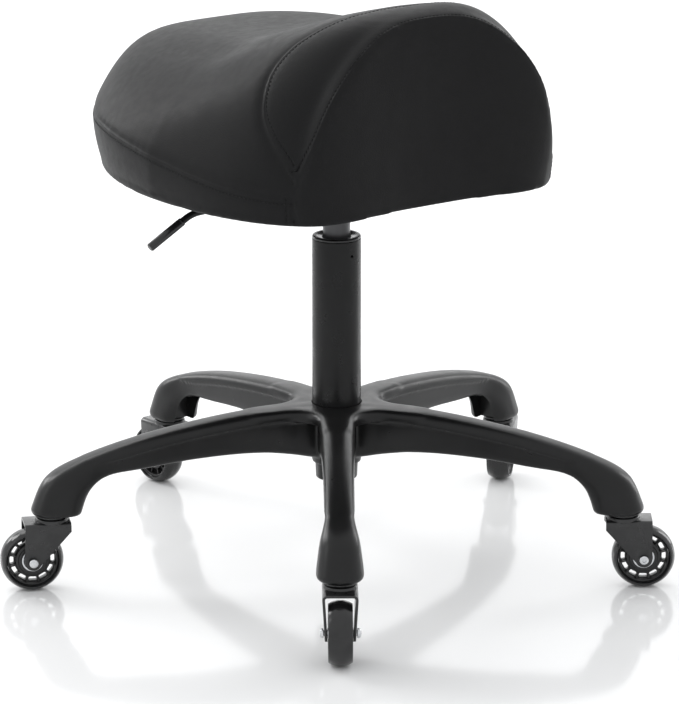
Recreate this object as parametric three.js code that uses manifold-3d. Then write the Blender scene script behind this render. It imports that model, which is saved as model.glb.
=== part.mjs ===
// Saddle stool on a gas lift: five-arm base on casters, swivelling column, lever, padded saddle seat.
// Millimetres, +Z up, the floor at z = 0. The seat faces -Y. Every mesh is one solid piece.
import * as THREE from "three";
import { mergeVertices } from "three/addons/utils/BufferGeometryUtils.js";
import Module from "manifold-3d";

const wasm = await Module();
wasm.setup();

// ---------------------------------------------------------------- driving dimensions

const GAP = 0.3; // left between two pieces that touch
const RUN = 0.4; // radial clearance of a part that turns or slides

// wheel and caster
const WHEEL_R = 32;
const TREAD_W = 24;
const CORE_R = 25.5;
const CORE_W = 17;
const TREAD_FLAT = 6; // flat band in the middle of the tread
const SLOT_COUNT = 12;
const SLOT_R = 21.5; // circle that the slots lie on
const SLOT_LONG = 6;
const SLOT_WIDE = 3.4;
const BEARING_R = 11;
const AXLE_R = 3;
const TRAIL = 21; // from the swivel axis to the axle
const WHEEL_GAP = 6; // wheel top to fork plate
const FORK_T = 2.5;
const FORK_TOP_W = 35.6;
const FORK_AXLE_W = 30.8;
const FORK_BEND_R = 5;
const FORK_LEAD = 18; // plate length in front of the swivel axis
const FORK_TAIL = 29; // and behind it
const FORK_EYE_R = 8.5; // round end of the cheek about the axle
const RACE_R = 17;
const RACE_H = 3;
const COLLAR_R = 16.5;
const COLLAR_T = 2.6;
const STEM_R = 5.5;
const STEM_DEPTH = 26;
const NECK_R = 5;
const RIVET_R = 8;
const RIVET_T = 2.4;
const NUT_R = 5;
const NUT_T = 4.2;
const BOLT_HEAD_R = 4.7;
const BOLT_HEAD_T = 3.2;
const SOCKET_R = 2.4; // hexagon in the axle bolt's head

// base
const ARM_COUNT = 5;
const STEM_CIRCLE_R = 304;
const BASE_YAW = -124.8; // direction of the first arm, in degrees
const CASTER_TURN = [0, 17, 25, 2, -8]; // each wheel's trail from its own arm, in degrees
const HUB_RISE = 89.5; // hub top above the feet
const HUB_WALL = 5.7; // around the tube
const HUB_NECK_STEP = 5.5; // hub's neck is this much thinner in radius
const HUB_DEPTH = 64;
const HUB_NECK_DEPTH = 12;
const STAR_SPREAD = 18; // the top of two arms meets this far outside the hub
const STAR_LIFT = 0.15; // rounded top over the arms' own
const CAP_T = 13; // depth of the rounded top of an arm at the hub
const ARM_ROOT_R = 18;
const ARM_WALL = 4;
const FOOT_HEEL = 30; // foot, inwards from the stem
const FOOT_TOE = 21; // and outwards
const FOOT_HALF_W = 23.5;
const FOOT_EDGE_R = 5;

// column and gas spring
const TUBE_R = 25;
const TUBE_TAPER = 3.7; // taken from its radius at the lower end
const TUBE_WALL = 2;
const TUBE_FLOOR = 4;
const TUBE_BELOW_HUB = 81; // tube's lower end under the hub top
const TUBE_SPARE = 30; // under the gas cylinder at its lowest
const BUSH_FLANGE_T = 3;
const BUSH_LENGTH = 78;
const CYLINDER_R = 14;
const CYLINDER_TAPER = 0.6;
const CYLINDER_WALL = 2.2;
const CYLINDER_GUIDE_T = 12;
const CYLINDER_KEPT = 6; // below the bush at full height
const ROD_R = 5;
const ROD_BELOW_TUBE = 5;
const ROD_SHOULDER_R = 8;
const PISTON_T = 12;
const PISTON_REACH = 22; // piston top under the tube's top
const CLIP_T = 2.2;
const CLIP_R = 9;
const THRUST_R = 14;
const THRUST_T = 6;
const LIFT_DOWN = 30;
const LIFT_UP = 110;
const LIFT_SPARE = 4;

// seat mechanism
const SOCKET_OUT_R = 22;
const SOCKET_H = 14.4;
const BUTTON_R = 3;
const BUTTON_H = 2.6;
const BUTTON_STROKE = 2.4;
const BUTTON_DEPTH = 9;
const TONGUE_T = 3.4;
const TONGUE_W = 9;
const PLATE_T = 3;
const PLATE_X = 160;
const PLATE_Y = 150;
const PLATE_CORNER_R = 14;
const RIB_T = 3;
const RIB_LENGTH = 104;
const RIB_H = 24;
const PLATE_BOLT_X = 128;
const PLATE_BOLT_Y = 118;
const PLATE_BOLT_R = 3;
const PLATE_BOLT_HEAD_R = 6;
const PLATE_BOLT_HEAD_T = 3.4;
const PIVOT_X = -30;
const PIVOT_R = 3;
const PIVOT_BOSS_R = 6.2;
const PIVOT_HEADROOM = 0.8; // pivot boss to plate
const LEVER_R = 3.5;
const LEVER_BEND_X = -176;
const LEVER_TIP_X = -226;
const LEVER_FALL = 6.5; // pivot to bend
const LEVER_TIP_FALL = 34; // pivot to tip
const LEVER_BEND_RUN = 9; // length that the bend takes on each side
const SLEEVE_R = 4.4;
const SLEEVE_LENGTH = 44;

// seat; the heights are above its lower edge
const SEAT_HALF_W = 214;
const SEAT_MID = 17; // widest line of the seat, y
const SEAT_FRONT = 208; // from the widest line to the front corners
const SEAT_REAR = 254;
const FRONT_POWER = 3.8;
const REAR_POWER = 2.2;
const FRONT_TAPER = 0.12; // share by which the front is narrower
const FRONT_HOLLOW = 25; // how far the front edge is drawn in between its corners
const PEAK_H = 194; // top of the hump
const PEAK_AT = 0.73; // its place, as a share of the front length
const FRONT_TOP_H = 180; // hump at the front edge
const WAIST_H = 141; // ridge at the widest line
const REAR_H = 125;
const REAR_EDGE_H = 97;
const RIM_FRONT_H = 28; // boxing seam at the front
const RIM_REAR_H = 58;
const ARCH_HALF_W = 162; // front panel at the boxing seam
const ARCH_POWER = 3;
const CROWN_POWER = 4; // rear of the seat
const FRONT_LEAN = 4; // how far the top of the front panel leans back
const FRONT_TUCK = 2; // lower edge drawn in under the seat
const REAR_TUCK = 15;
const EDGE_W = 14; // cushion's turned-in edge
const BOARD_T = 12;
const COVER_T = 1;

// ---------------------------------------------------------------- levels that follow

const TUBE_TIP_R = TUBE_R - TUBE_TAPER;
const CYLINDER_TIP_R = CYLINDER_R - CYLINDER_TAPER;
const CYLINDER_IN_TUBE = LIFT_UP + BUSH_LENGTH + CYLINDER_KEPT;
const TUBE_LENGTH = CYLINDER_IN_TUBE + LIFT_DOWN + TUBE_SPARE;
const HUB_WALL_R = TUBE_R + GAP + HUB_WALL;
const STAR_R = HUB_WALL_R + STAR_SPREAD;
const FORK_Z = 2 * WHEEL_R + WHEEL_GAP;
const FORK_TOP_Z = FORK_Z + FORK_T;
const COLLAR_Z = FORK_TOP_Z + RACE_H + RUN;
const FOOT_Z = COLLAR_Z + COLLAR_T + GAP;
const HUB_Z = FOOT_Z + HUB_RISE;
const TUBE_Z = HUB_Z - TUBE_BELOW_HUB;
const TUBE_TOP_Z = TUBE_Z + TUBE_LENGTH;
const BUSH_TOP_Z = TUBE_TOP_Z + GAP + BUSH_FLANGE_T;
const SOCKET_Z = BUSH_TOP_Z + LIFT_DOWN + LIFT_SPARE;
const SOCKET_TOP_Z = SOCKET_Z + SOCKET_H;
const CYLINDER_TOP_Z = SOCKET_TOP_Z + 1;
const BUTTON_TOP_Z = CYLINDER_TOP_Z + BUTTON_H;
const TONGUE_Z = BUTTON_TOP_Z + GAP;
const PIVOT_Z = TONGUE_Z + TONGUE_T / 2;
const PLATE_Z = PIVOT_Z + PIVOT_BOSS_R + PIVOT_HEADROOM;
const PLATE_TOP_Z = PLATE_Z + PLATE_T;
const SEAT_Z = PLATE_TOP_Z;
const COVER_Z = PLATE_TOP_Z + GAP;
const BOARD_Z = COVER_Z + COVER_T + GAP;
const BOARD_TOP_Z = BOARD_Z + BOARD_T;

const deg = THREE.MathUtils.degToRad;
const { clamp, lerp, smoothstep } = THREE.MathUtils;

// ---------------------------------------------------------------- finishes

function finish(color, roughness, metalness) {
  return new THREE.MeshStandardMaterial({ color, roughness, metalness });
}

const castBlack = () => finish(0x1b1c1e, 0.42, 0.1);
const steelBlack = () => finish(0x141416, 0.3, 0.55);
const glossBlack = () => finish(0x0c0c0d, 0.15, 0.1);
const springGrey = () => finish(0x2b2c2e, 0.35, 0.6);
const brightSteel = () => finish(0xb9bcc0, 0.2, 1);
const treadBlack = () => finish(0x202123, 0.28, 0);
const coreBlack = () => finish(0x111113, 0.4, 0);
const seatBlack = () => finish(0x161617, 0.5, 0);
const plywood = () => finish(0x9a7650, 0.7, 0);
const coverBlack = () => finish(0x1a1a1c, 0.9, 0);

// ---------------------------------------------------------------- solids

// The surface as an indexed one with shared corners, faces out.
function closed(geometry) {
  const bare = geometry.clone();
  bare.deleteAttribute("normal");
  bare.deleteAttribute("uv");
  const merged = mergeVertices(bare, 1e-3);
  if (volumeOf(merged) < 0) {
    flip(merged.index.array);
  }
  return merged;
}

function volumeOf(geometry) {
  const p = geometry.attributes.position;
  const corner = [0, 1, 2].map(() => new THREE.Vector3());
  let sum = 0;
  for (let i = 0; i < geometry.index.count; i += 3) {
    corner.forEach((c, k) => c.fromBufferAttribute(p, geometry.index.array[i + k]));
    sum += corner[0].dot(corner[1].cross(corner[2])) / 6;
  }
  return sum;
}

function flip(indices) {
  for (let i = 0; i < indices.length; i += 3) {
    const second = indices[i + 1];
    indices[i + 1] = indices[i + 2];
    indices[i + 2] = second;
  }
}

function toSolid(geometry) {
  const surface = closed(geometry);
  return new wasm.Manifold(
    new wasm.Mesh({
      numProp: 3,
      vertProperties: surface.attributes.position.array,
      triVerts: new Uint32Array(surface.index.array),
    }),
  );
}

function fromSolid(solid) {
  const mesh = solid.getMesh();
  const geometry = new THREE.BufferGeometry();
  geometry.setAttribute("position", new THREE.BufferAttribute(mesh.vertProperties, 3));
  geometry.setIndex(new THREE.BufferAttribute(mesh.triVerts, 1));
  return geometry;
}

function joined(geometries) {
  return fromSolid(geometries.map(toSolid).reduce((all, one) => all.add(one)));
}

function cut(geometry, tools) {
  return fromSolid(tools.map(toSolid).reduce((left, tool) => left.subtract(tool), toSolid(geometry)));
}

// A solid of revolution about Z; the profile is a list of [radius, z].
function turned(profile, segments = 24) {
  const points = profile.map(([r, z]) => new THREE.Vector2(r, z));
  return closed(new THREE.LatheGeometry(points, segments).rotateX(Math.PI / 2));
}

// A ring of revolution: the profile closes on itself.
function turnedRing(profile, segments = 24) {
  return turned([...profile, profile[0]], segments);
}

function rod(radius, bottom, top, segments = 16) {
  return turned([[0, bottom], [radius, bottom], [radius, top], [0, top]], segments);
}

// A plate between two heights; outline and holes are lists of [x, y].
function plate(outline, bottom, thickness, holes = []) {
  const shape = new THREE.Shape(outline.map(([x, y]) => new THREE.Vector2(x, y)));
  shape.holes = holes.map((hole) => new THREE.Path(hole.map(([x, y]) => new THREE.Vector2(x, y))));
  const geometry = new THREE.ExtrudeGeometry(shape, { depth: thickness, bevelEnabled: false });
  return closed(geometry.translate(0, 0, bottom));
}

function circle(radius, x = 0, y = 0, count = 16) {
  return Array.from({ length: count }, (_, i) => {
    const a = (2 * Math.PI * i) / count;
    return [x + radius * Math.cos(a), y + radius * Math.sin(a)];
  });
}

function roundedRectangle(width, depth, corner, steps = 3) {
  const points = [];
  for (const [sx, sy, start] of [[1, 1, 0], [-1, 1, 90], [-1, -1, 180], [1, -1, 270]]) {
    for (let i = 0; i <= steps; i += 1) {
      const a = deg(start + (90 * i) / steps);
      points.push([
        sx * (width / 2 - corner) + corner * Math.cos(a),
        sy * (depth / 2 - corner) + corner * Math.sin(a),
      ]);
    }
  }
  return points;
}

// A skin over a stack of equal rings of [x, y, z]; a ring of one point ends it in a fan.
function skin(rings) {
  const positions = [];
  const starts = rings.map((ring) => {
    const start = positions.length / 3;
    ring.forEach((point) => positions.push(...point));
    return start;
  });
  const faces = [];
  for (let k = 0; k + 1 < rings.length; k += 1) {
    bridge(faces, rings[k].length, starts[k], rings[k + 1].length, starts[k + 1]);
  }
  const geometry = new THREE.BufferGeometry();
  geometry.setAttribute("position", new THREE.Float32BufferAttribute(positions, 3));
  geometry.setIndex(faces);
  return closed(geometry);
}

function bridge(faces, countA, startA, countB, startB) {
  const count = Math.max(countA, countB);
  for (let i = 0; i < count; i += 1) {
    const j = (i + 1) % count;
    if (countA === 1) {
      faces.push(startA, startB + i, startB + j);
    } else if (countB === 1) {
      faces.push(startA + i, startB, startA + j);
    } else {
      faces.push(startA + i, startB + i, startA + j);
      faces.push(startA + j, startB + i, startB + j);
    }
  }
}

function middle(ring) {
  const sum = ring.reduce((s, p) => s.map((value, k) => value + p[k]), [0, 0, 0]);
  return sum.map((value) => value / ring.length);
}

// Rings with both ends closed by a fan.
function capped(rings) {
  return skin([[middle(rings[0])], ...rings, [middle(rings.at(-1))]]);
}

function piece(name, geometry, material) {
  const mesh = new THREE.Mesh(geometry, material);
  mesh.name = name;
  return mesh;
}

function superellipse(angle, halfX, halfY, power) {
  const round = (value) => Math.sign(value) * Math.abs(value) ** (2 / power);
  return [halfX * round(Math.cos(angle)), halfY * round(Math.sin(angle))];
}

// ---------------------------------------------------------------- star base

const ARM_RING = 14;
const ARM_STATIONS = 12;

// Edges of an arm seen from the side, root to foot, as [distance from the column, height].
function armEdges() {
  const toe = STEM_CIRCLE_R + FOOT_TOE;
  const heel = STEM_CIRCLE_R - FOOT_HEEL;
  const top = [
    [ARM_ROOT_R, HUB_Z],
    [85, HUB_Z - 1.3],
    [150, HUB_Z - 8],
    [heel - 59, HUB_Z - 19],
    [heel - 2, HUB_Z - 34.5],
    [toe - 16, FOOT_Z + 36.5],
    [toe, FOOT_Z + FOOT_EDGE_R],
  ];
  const bottom = [
    [ARM_ROOT_R, HUB_Z - 57],
    [80, HUB_Z - 45.5],
    [146, HUB_Z - 44.5],
    [heel - 66, HUB_Z - 49.5],
    [heel - 28, HUB_Z - 53],
    [heel - 9.5, FOOT_Z + 25],
    [heel, FOOT_Z + FOOT_EDGE_R],
  ];
  const halfWidth = [18.6, 18, 16.6, 15.4, 15.6, 20, FOOT_HALF_W];
  return {
    top: new THREE.SplineCurve(top.map(([r, z]) => new THREE.Vector2(r, z))),
    bottom: new THREE.SplineCurve(bottom.map(([r, z]) => new THREE.Vector2(r, z))),
    width: new THREE.SplineCurve(halfWidth.map((w, i) => new THREE.Vector2(i, w))),
  };
}

// One ring across an arm: crowned above, flat-sided below, round at the foot.
function armRing(low, high, halfWidth, roundness, shrink = 0, count = ARM_RING) {
  const along = high.clone().sub(low);
  const half = along.length() / 2 - shrink;
  const up = along.normalize();
  const centre = low.clone().add(high).multiplyScalar(0.5);
  return Array.from({ length: count }, (_, i) => {
    const a = (2 * Math.PI * i) / count;
    const power = Math.sin(a) > 0 ? lerp(2.7, 2.1, roundness) : lerp(6, 2.1, roundness);
    const [across, rise] = superellipse(a, halfWidth - shrink, half, power);
    return [centre.x + up.x * rise, across, centre.y + up.y * rise];
  });
}

function armSolid() {
  const edge = armEdges();
  const rings = [];
  for (let k = 0; k < ARM_STATIONS; k += 1) {
    const t = k / (ARM_STATIONS - 1);
    const roundness = smoothstep(t, 0.6, 0.95);
    const halfWidth = edge.width.getPoint(t).y;
    rings.push(armRing(edge.bottom.getPoint(t), edge.top.getPoint(t), halfWidth, roundness));
  }
  const heel = new THREE.Vector2(STEM_CIRCLE_R - FOOT_HEEL, FOOT_Z);
  const toe = new THREE.Vector2(STEM_CIRCLE_R + FOOT_TOE, FOOT_Z);
  rings.push(armRing(heel, toe, FOOT_HALF_W, 1, FOOT_EDGE_R));
  return capped(rings);
}

// The rounded top of the star, which spreads towards the hub to meet the next arm.
function armCap() {
  const edge = armEdges();
  const spread = [STAR_R * Math.sin(Math.PI / ARM_COUNT) + 6, 29, 22, 18, 15.5];
  const sunk = [0, 0, 0, 0.3, 1.5]; // its far end goes under the top of the arm
  const rings = spread.map((halfWidth, k) => {
    const top = edge.top.getPoint(k / 11);
    top.y += STAR_LIFT - sunk[k];
    const low = top.clone().setY(top.y - lerp(CAP_T, 7, k / (spread.length - 1)));
    return armRing(low, top, halfWidth, 0.15);
  });
  return capped(rings);
}

// The hollow under an arm, between two distances from the column.
function armHollow(from, to) {
  const edge = armEdges();
  const rings = [from, to].map((t) => {
    const low = edge.bottom.getPoint(t);
    const high = edge.top.getPoint(t);
    const halfWidth = edge.width.getPoint(t).y - ARM_WALL;
    low.y -= 2 * ARM_WALL;
    high.y -= ARM_WALL;
    return armRing(low, high, halfWidth, 0, 0, 8);
  });
  return capped(rings);
}

function hubSolid() {
  const round = 5;
  const neck = HUB_WALL_R - HUB_NECK_STEP;
  return turned([
    [0, HUB_Z - HUB_DEPTH],
    [neck, HUB_Z - HUB_DEPTH],
    [neck, HUB_Z - HUB_DEPTH + HUB_NECK_DEPTH],
    [HUB_WALL_R, HUB_Z - HUB_DEPTH + HUB_NECK_DEPTH + round],
    [HUB_WALL_R, HUB_Z - CAP_T],
    [STAR_R - 7, HUB_Z - CAP_T + 2],
    [STAR_R, HUB_Z - CAP_T / 2],
    [STAR_R - 2, HUB_Z - 2],
    [STAR_R - 6, HUB_Z],
    [0, HUB_Z],
  ], 30);
}

function tubeRadiusAt(z) {
  return lerp(TUBE_TIP_R, TUBE_R, Math.min(1, (z - TUBE_Z) / TUBE_BELOW_HUB));
}

function starBase() {
  const parts = [hubSolid()];
  const tools = [];
  const bottom = HUB_Z - HUB_DEPTH - 1;
  const top = HUB_Z + 1;
  tools.push(turned([
    [0, bottom],
    [tubeRadiusAt(bottom) + GAP, bottom],
    [tubeRadiusAt(HUB_Z) + GAP, HUB_Z],
    [tubeRadiusAt(HUB_Z) + GAP, top],
    [0, top],
  ], 24));
  for (let k = 0; k < ARM_COUNT; k += 1) {
    const turn = (2 * Math.PI * k) / ARM_COUNT;
    parts.push(armSolid().rotateZ(turn), armCap().rotateZ(turn));
    for (const [from, to] of [[0.14, 0.38], [0.41, 0.66]]) {
      tools.push(armHollow(from, to).rotateZ(turn));
    }
    const bore = rod(STEM_R + GAP, FOOT_Z - 1, FOOT_Z + STEM_DEPTH + 1, 12);
    tools.push(bore.translate(STEM_CIRCLE_R, 0, 0).rotateZ(turn));
  }
  return piece("star_base", cut(joined(parts), tools), castBlack());
}

// ---------------------------------------------------------------- column and gas spring

function columnTube() {
  const floorTop = TUBE_Z + TUBE_FLOOR;
  return piece("column_tube", turnedRing([
    [ROD_R + RUN, TUBE_Z],
    [TUBE_TIP_R - 1, TUBE_Z],
    [TUBE_TIP_R, TUBE_Z + 1],
    [TUBE_R, HUB_Z],
    [TUBE_R, TUBE_TOP_Z],
    [TUBE_R - TUBE_WALL, TUBE_TOP_Z],
    [TUBE_R - TUBE_WALL, HUB_Z],
    [tubeRadiusAt(floorTop) - TUBE_WALL, floorTop],
    [ROD_R + RUN, floorTop],
  ], 24), steelBlack());
}

function guideBush() {
  const outside = TUBE_R - TUBE_WALL - GAP;
  const inside = CYLINDER_R + GAP;
  const flange = TUBE_TOP_Z + GAP;
  return piece("guide_bush", turnedRing([
    [inside, TUBE_TOP_Z - BUSH_LENGTH],
    [outside, TUBE_TOP_Z - BUSH_LENGTH],
    [outside, flange],
    [TUBE_R, flange],
    [TUBE_R, BUSH_TOP_Z - 1],
    [TUBE_R - 1, BUSH_TOP_Z],
    [TUBE_R - 4, BUSH_TOP_Z],
    [inside + 1, BUSH_TOP_Z - 1],
    [inside, BUSH_TOP_Z - 2],
  ], 24), glossBlack());
}

const CLIP_Z = TUBE_Z - GAP - CLIP_T;
const THRUST_Z = TUBE_Z + TUBE_FLOOR + GAP;
const GROOVE_R = ROD_R - 1;

function thrustBearing() {
  return piece("thrust_bearing", turnedRing([
    [ROD_R + RUN, THRUST_Z],
    [THRUST_R, THRUST_Z],
    [THRUST_R, THRUST_Z + THRUST_T],
    [ROD_R + RUN, THRUST_Z + THRUST_T],
  ], 20), brightSteel());
}

function rodClip() {
  const open = 3;
  const ring = turnedRing([
    [GROOVE_R + GAP, CLIP_Z],
    [CLIP_R, CLIP_Z],
    [CLIP_R, CLIP_Z + CLIP_T],
    [GROOVE_R + GAP, CLIP_Z + CLIP_T],
  ], 20);
  const mouth = new THREE.BoxGeometry(2 * CLIP_R, open, 2 * CLIP_T);
  return piece("rod_clip", cut(ring, [mouth.translate(CLIP_R, 0, CLIP_Z + CLIP_T / 2)]), brightSteel());
}

function pistonRod() {
  const shoulder = THRUST_Z + THRUST_T + GAP;
  const top = TUBE_TOP_Z - PISTON_REACH;
  const pistonR = CYLINDER_R - CYLINDER_WALL - RUN;
  return piece("piston_rod", turned([
    [0, TUBE_Z - ROD_BELOW_TUBE],
    [ROD_R, TUBE_Z - ROD_BELOW_TUBE],
    [ROD_R, CLIP_Z - GAP],
    [GROOVE_R, CLIP_Z - GAP],
    [GROOVE_R, CLIP_Z + CLIP_T + GAP / 2],
    [ROD_R, CLIP_Z + CLIP_T + GAP / 2],
    [ROD_R, shoulder],
    [ROD_SHOULDER_R, shoulder],
    [ROD_SHOULDER_R, shoulder + 5],
    [ROD_R, shoulder + 7],
    [ROD_R, top - PISTON_T],
    [pistonR, top - PISTON_T],
    [pistonR, top],
    [0, top],
  ], 14), brightSteel());
}

function cylinderTaper(z) {
  return lerp(CYLINDER_R, CYLINDER_TIP_R, Math.max(0, (z - SOCKET_Z) / (CYLINDER_TOP_Z - SOCKET_Z)));
}

function gasCylinder() {
  const bottom = TUBE_TOP_Z - CYLINDER_IN_TUBE;
  const boreR = CYLINDER_R - CYLINDER_WALL;
  const ceiling = CYLINDER_TOP_Z - BUTTON_DEPTH - 6;
  return piece("gas_cylinder", turned([
    [0, ceiling],
    [boreR, ceiling],
    [boreR, bottom + CYLINDER_GUIDE_T],
    [ROD_R + RUN, bottom + CYLINDER_GUIDE_T],
    [ROD_R + RUN, bottom],
    [CYLINDER_R, bottom],
    [CYLINDER_R, SOCKET_Z],
    [CYLINDER_TIP_R, CYLINDER_TOP_Z - 0.8],
    [CYLINDER_TIP_R - 0.8, CYLINDER_TOP_Z],
    [BUTTON_R + RUN, CYLINDER_TOP_Z],
    [BUTTON_R + RUN, CYLINDER_TOP_Z - BUTTON_DEPTH],
    [0, CYLINDER_TOP_Z - BUTTON_DEPTH],
  ].reverse(), 20), springGrey());
}

function releaseButton() {
  return piece("release_button", turned([
    [0, CYLINDER_TOP_Z - BUTTON_DEPTH + BUTTON_STROKE + GAP],
    [BUTTON_R, CYLINDER_TOP_Z - BUTTON_DEPTH + BUTTON_STROKE + GAP],
    [BUTTON_R, BUTTON_TOP_Z - 1],
    [BUTTON_R / 2, BUTTON_TOP_Z],
    [0, BUTTON_TOP_Z],
  ], 10), brightSteel());
}

// ---------------------------------------------------------------- seat mechanism

function coneSocket() {
  return piece("cone_socket", turnedRing([
    [cylinderTaper(SOCKET_Z) + GAP, SOCKET_Z],
    [SOCKET_OUT_R - 2, SOCKET_Z],
    [SOCKET_OUT_R, SOCKET_Z + 2],
    [SOCKET_OUT_R, SOCKET_TOP_Z],
    [cylinderTaper(SOCKET_TOP_Z) + GAP, SOCKET_TOP_Z],
  ], 20), steelBlack());
}

const RIB_Y = SOCKET_OUT_R + GAP; // inner face of a rib, which holds the socket
const plateCorners = [[-1, -1], [-1, 1], [1, -1], [1, 1]];
const plateBolts = plateCorners.map(([sx, sy]) => [(sx * PLATE_BOLT_X) / 2, (sy * PLATE_BOLT_Y) / 2]);

function boltHoles(radius) {
  return plateBolts.map(([x, y]) => circle(radius, x, y, 8));
}

function rib(side) {
  const slab = new THREE.BoxGeometry(RIB_LENGTH, RIB_T, RIB_H + PLATE_T);
  slab.translate(0, side * (RIB_Y + RIB_T / 2), PLATE_Z + PLATE_T - (RIB_H + PLATE_T) / 2);
  return slab;
}

function acrossY(radius, length, segments = 16) {
  return closed(new THREE.CylinderGeometry(radius, radius, length, segments));
}

function mountPlate() {
  const outline = roundedRectangle(PLATE_X, PLATE_Y, PLATE_CORNER_R);
  const flat = plate(outline, PLATE_Z, PLATE_T, boltHoles(PLATE_BOLT_R + GAP));
  const pinHole = acrossY(PIVOT_R + GAP, 4 * RIB_Y).translate(PIVOT_X, 0, PIVOT_Z);
  return piece("mount_plate", cut(joined([flat, rib(1), rib(-1)]), [pinHole]), steelBlack());
}

function plateBolt(index) {
  const [x, y] = plateBolts[index];
  const headTop = PLATE_Z - GAP;
  const geometry = turned([
    [0, headTop - PLATE_BOLT_HEAD_T],
    [PLATE_BOLT_HEAD_R - 1.5, headTop - PLATE_BOLT_HEAD_T],
    [PLATE_BOLT_HEAD_R, headTop - 1],
    [PLATE_BOLT_HEAD_R, headTop],
    [PLATE_BOLT_R, headTop],
    [PLATE_BOLT_R, BOARD_TOP_Z - 2],
    [0, BOARD_TOP_Z - 2],
  ], 12);
  return piece("plate_bolt_" + (index + 1), geometry.translate(x, y, 0), brightSteel());
}

function leverPin() {
  const end = RIB_Y + RIB_T + GAP;
  const headT = 2.5;
  const geometry = turned([
    [0, -end - 1.5],
    [PIVOT_R - 0.6, -end - 1.5],
    [PIVOT_R, -end - 0.9],
    [PIVOT_R, end],
    [PIVOT_R + 2, end],
    [PIVOT_R + 2, end + headT - 0.6],
    [PIVOT_R + 1.4, end + headT],
    [0, end + headT],
  ], 16);
  return piece("lever_pin", geometry.rotateX(-Math.PI / 2).translate(PIVOT_X, 0, PIVOT_Z), brightSteel());
}

const leverBend = new THREE.Vector3(LEVER_BEND_X, 0, PIVOT_Z - LEVER_FALL);
const leverTip = new THREE.Vector3(LEVER_TIP_X, 0, PIVOT_Z - LEVER_TIP_FALL);
const leverDown = leverTip.clone().sub(leverBend).normalize();

// The rod stops inside the sleeve, short of its blind end.
function leverRod() {
  const start = new THREE.Vector3(PIVOT_X - PIVOT_BOSS_R / 2, 0, PIVOT_Z);
  const level = start.clone().sub(leverBend).normalize();
  const end = leverTip.clone().addScaledVector(leverDown, -2 * SLEEVE_R);
  const path = new THREE.CurvePath();
  const before = leverBend.clone().addScaledVector(level, LEVER_BEND_RUN);
  const after = leverBend.clone().addScaledVector(leverDown, LEVER_BEND_RUN);
  path.add(new THREE.LineCurve3(start, before));
  path.add(new THREE.QuadraticBezierCurve3(before, leverBend, after));
  path.add(new THREE.LineCurve3(after, end));
  const section = new THREE.Shape(circle(LEVER_R, 0, 0, 8).map(([x, y]) => new THREE.Vector2(x, y)));
  const bar = new THREE.ExtrudeGeometry(section, { steps: 12, extrudePath: path, bevelEnabled: false });
  const boss = acrossY(PIVOT_BOSS_R, 2 * (RIB_Y - RUN)).translate(PIVOT_X, 0, PIVOT_Z);
  const tongueEnd = BUTTON_R + 1;
  const tongue = new THREE.BoxGeometry(tongueEnd - PIVOT_X, TONGUE_W, TONGUE_T - 1);
  tongue.translate((tongueEnd + PIVOT_X) / 2, 0, TONGUE_Z + TONGUE_T - (TONGUE_T - 1) / 2);
  const nose = acrossY(2.4, TONGUE_W, 12).translate(0, 0, TONGUE_Z + 2.4);
  const pinHole = acrossY(PIVOT_R + RUN, 3 * RIB_Y).translate(PIVOT_X, 0, PIVOT_Z);
  return piece("lever_rod", cut(joined([bar, boss, tongue, nose]), [pinHole]), steelBlack());
}

function leverSleeve() {
  const blind = SLEEVE_LENGTH - 2 * SLEEVE_R + GAP;
  const inside = LEVER_R + GAP;
  const geometry = turned([
    [0, blind],
    [inside, blind],
    [inside, 0],
    [SLEEVE_R, 0],
    [SLEEVE_R, SLEEVE_LENGTH - 1],
    [SLEEVE_R - 1, SLEEVE_LENGTH],
    [0, SLEEVE_LENGTH],
  ].reverse(), 16);
  const turn = new THREE.Quaternion().setFromUnitVectors(new THREE.Vector3(0, 0, 1), leverDown);
  const foot = leverTip.clone().addScaledVector(leverDown, -SLEEVE_LENGTH);
  return piece("lever_sleeve", geometry.applyQuaternion(turn).translate(...foot), glossBlack());
}

// ---------------------------------------------------------------- seat

const SEAT_RING = 44;

// Widest outline of the seat at an angle from the front, as [x, y]; inset moves it in.
function seatOutline(angle, inset = 0) {
  const front = Math.cos(angle) > 0;
  const power = front ? FRONT_POWER : REAR_POWER;
  const radius = (Math.abs(Math.cos(angle)) ** power + Math.abs(Math.sin(angle)) ** power) ** (-1 / power);
  const forward = ((front ? SEAT_FRONT : SEAT_REAR) - inset) * Math.cos(angle) * radius;
  const across = (SEAT_HALF_W - inset) * Math.sin(angle) * radius;
  const share = clamp(forward / SEAT_FRONT, 0, 1);
  const hollow = FRONT_HOLLOW * share ** 4 * clamp(1 - (across / (0.75 * SEAT_HALF_W)) ** 2, 0, 1);
  return [across * (1 - FRONT_TAPER * share), SEAT_MID - forward + hollow];
}

function seatHalfWidth(forward) {
  const front = forward > 0;
  const power = front ? FRONT_POWER : REAR_POWER;
  const share = Math.min(1, Math.abs(forward) / (front ? SEAT_FRONT : SEAT_REAR));
  const taper = front ? 1 - FRONT_TAPER * share : 1;
  return Math.max(1, SEAT_HALF_W * taper * (1 - share ** power) ** (1 / power));
}

// The seat's middle line, rear to front, as [share of the length from the widest line, height].
const RIDGE = [
  [-1, RIM_REAR_H],
  [-0.93, REAR_EDGE_H],
  [-0.78, REAR_H],
  [-0.1, WAIST_H],
  [lerp(-0.1, PEAK_AT, 0.4), lerp(WAIST_H, PEAK_H, 0.42)],
  [PEAK_AT, PEAK_H],
  [1, FRONT_TOP_H],
];

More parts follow.
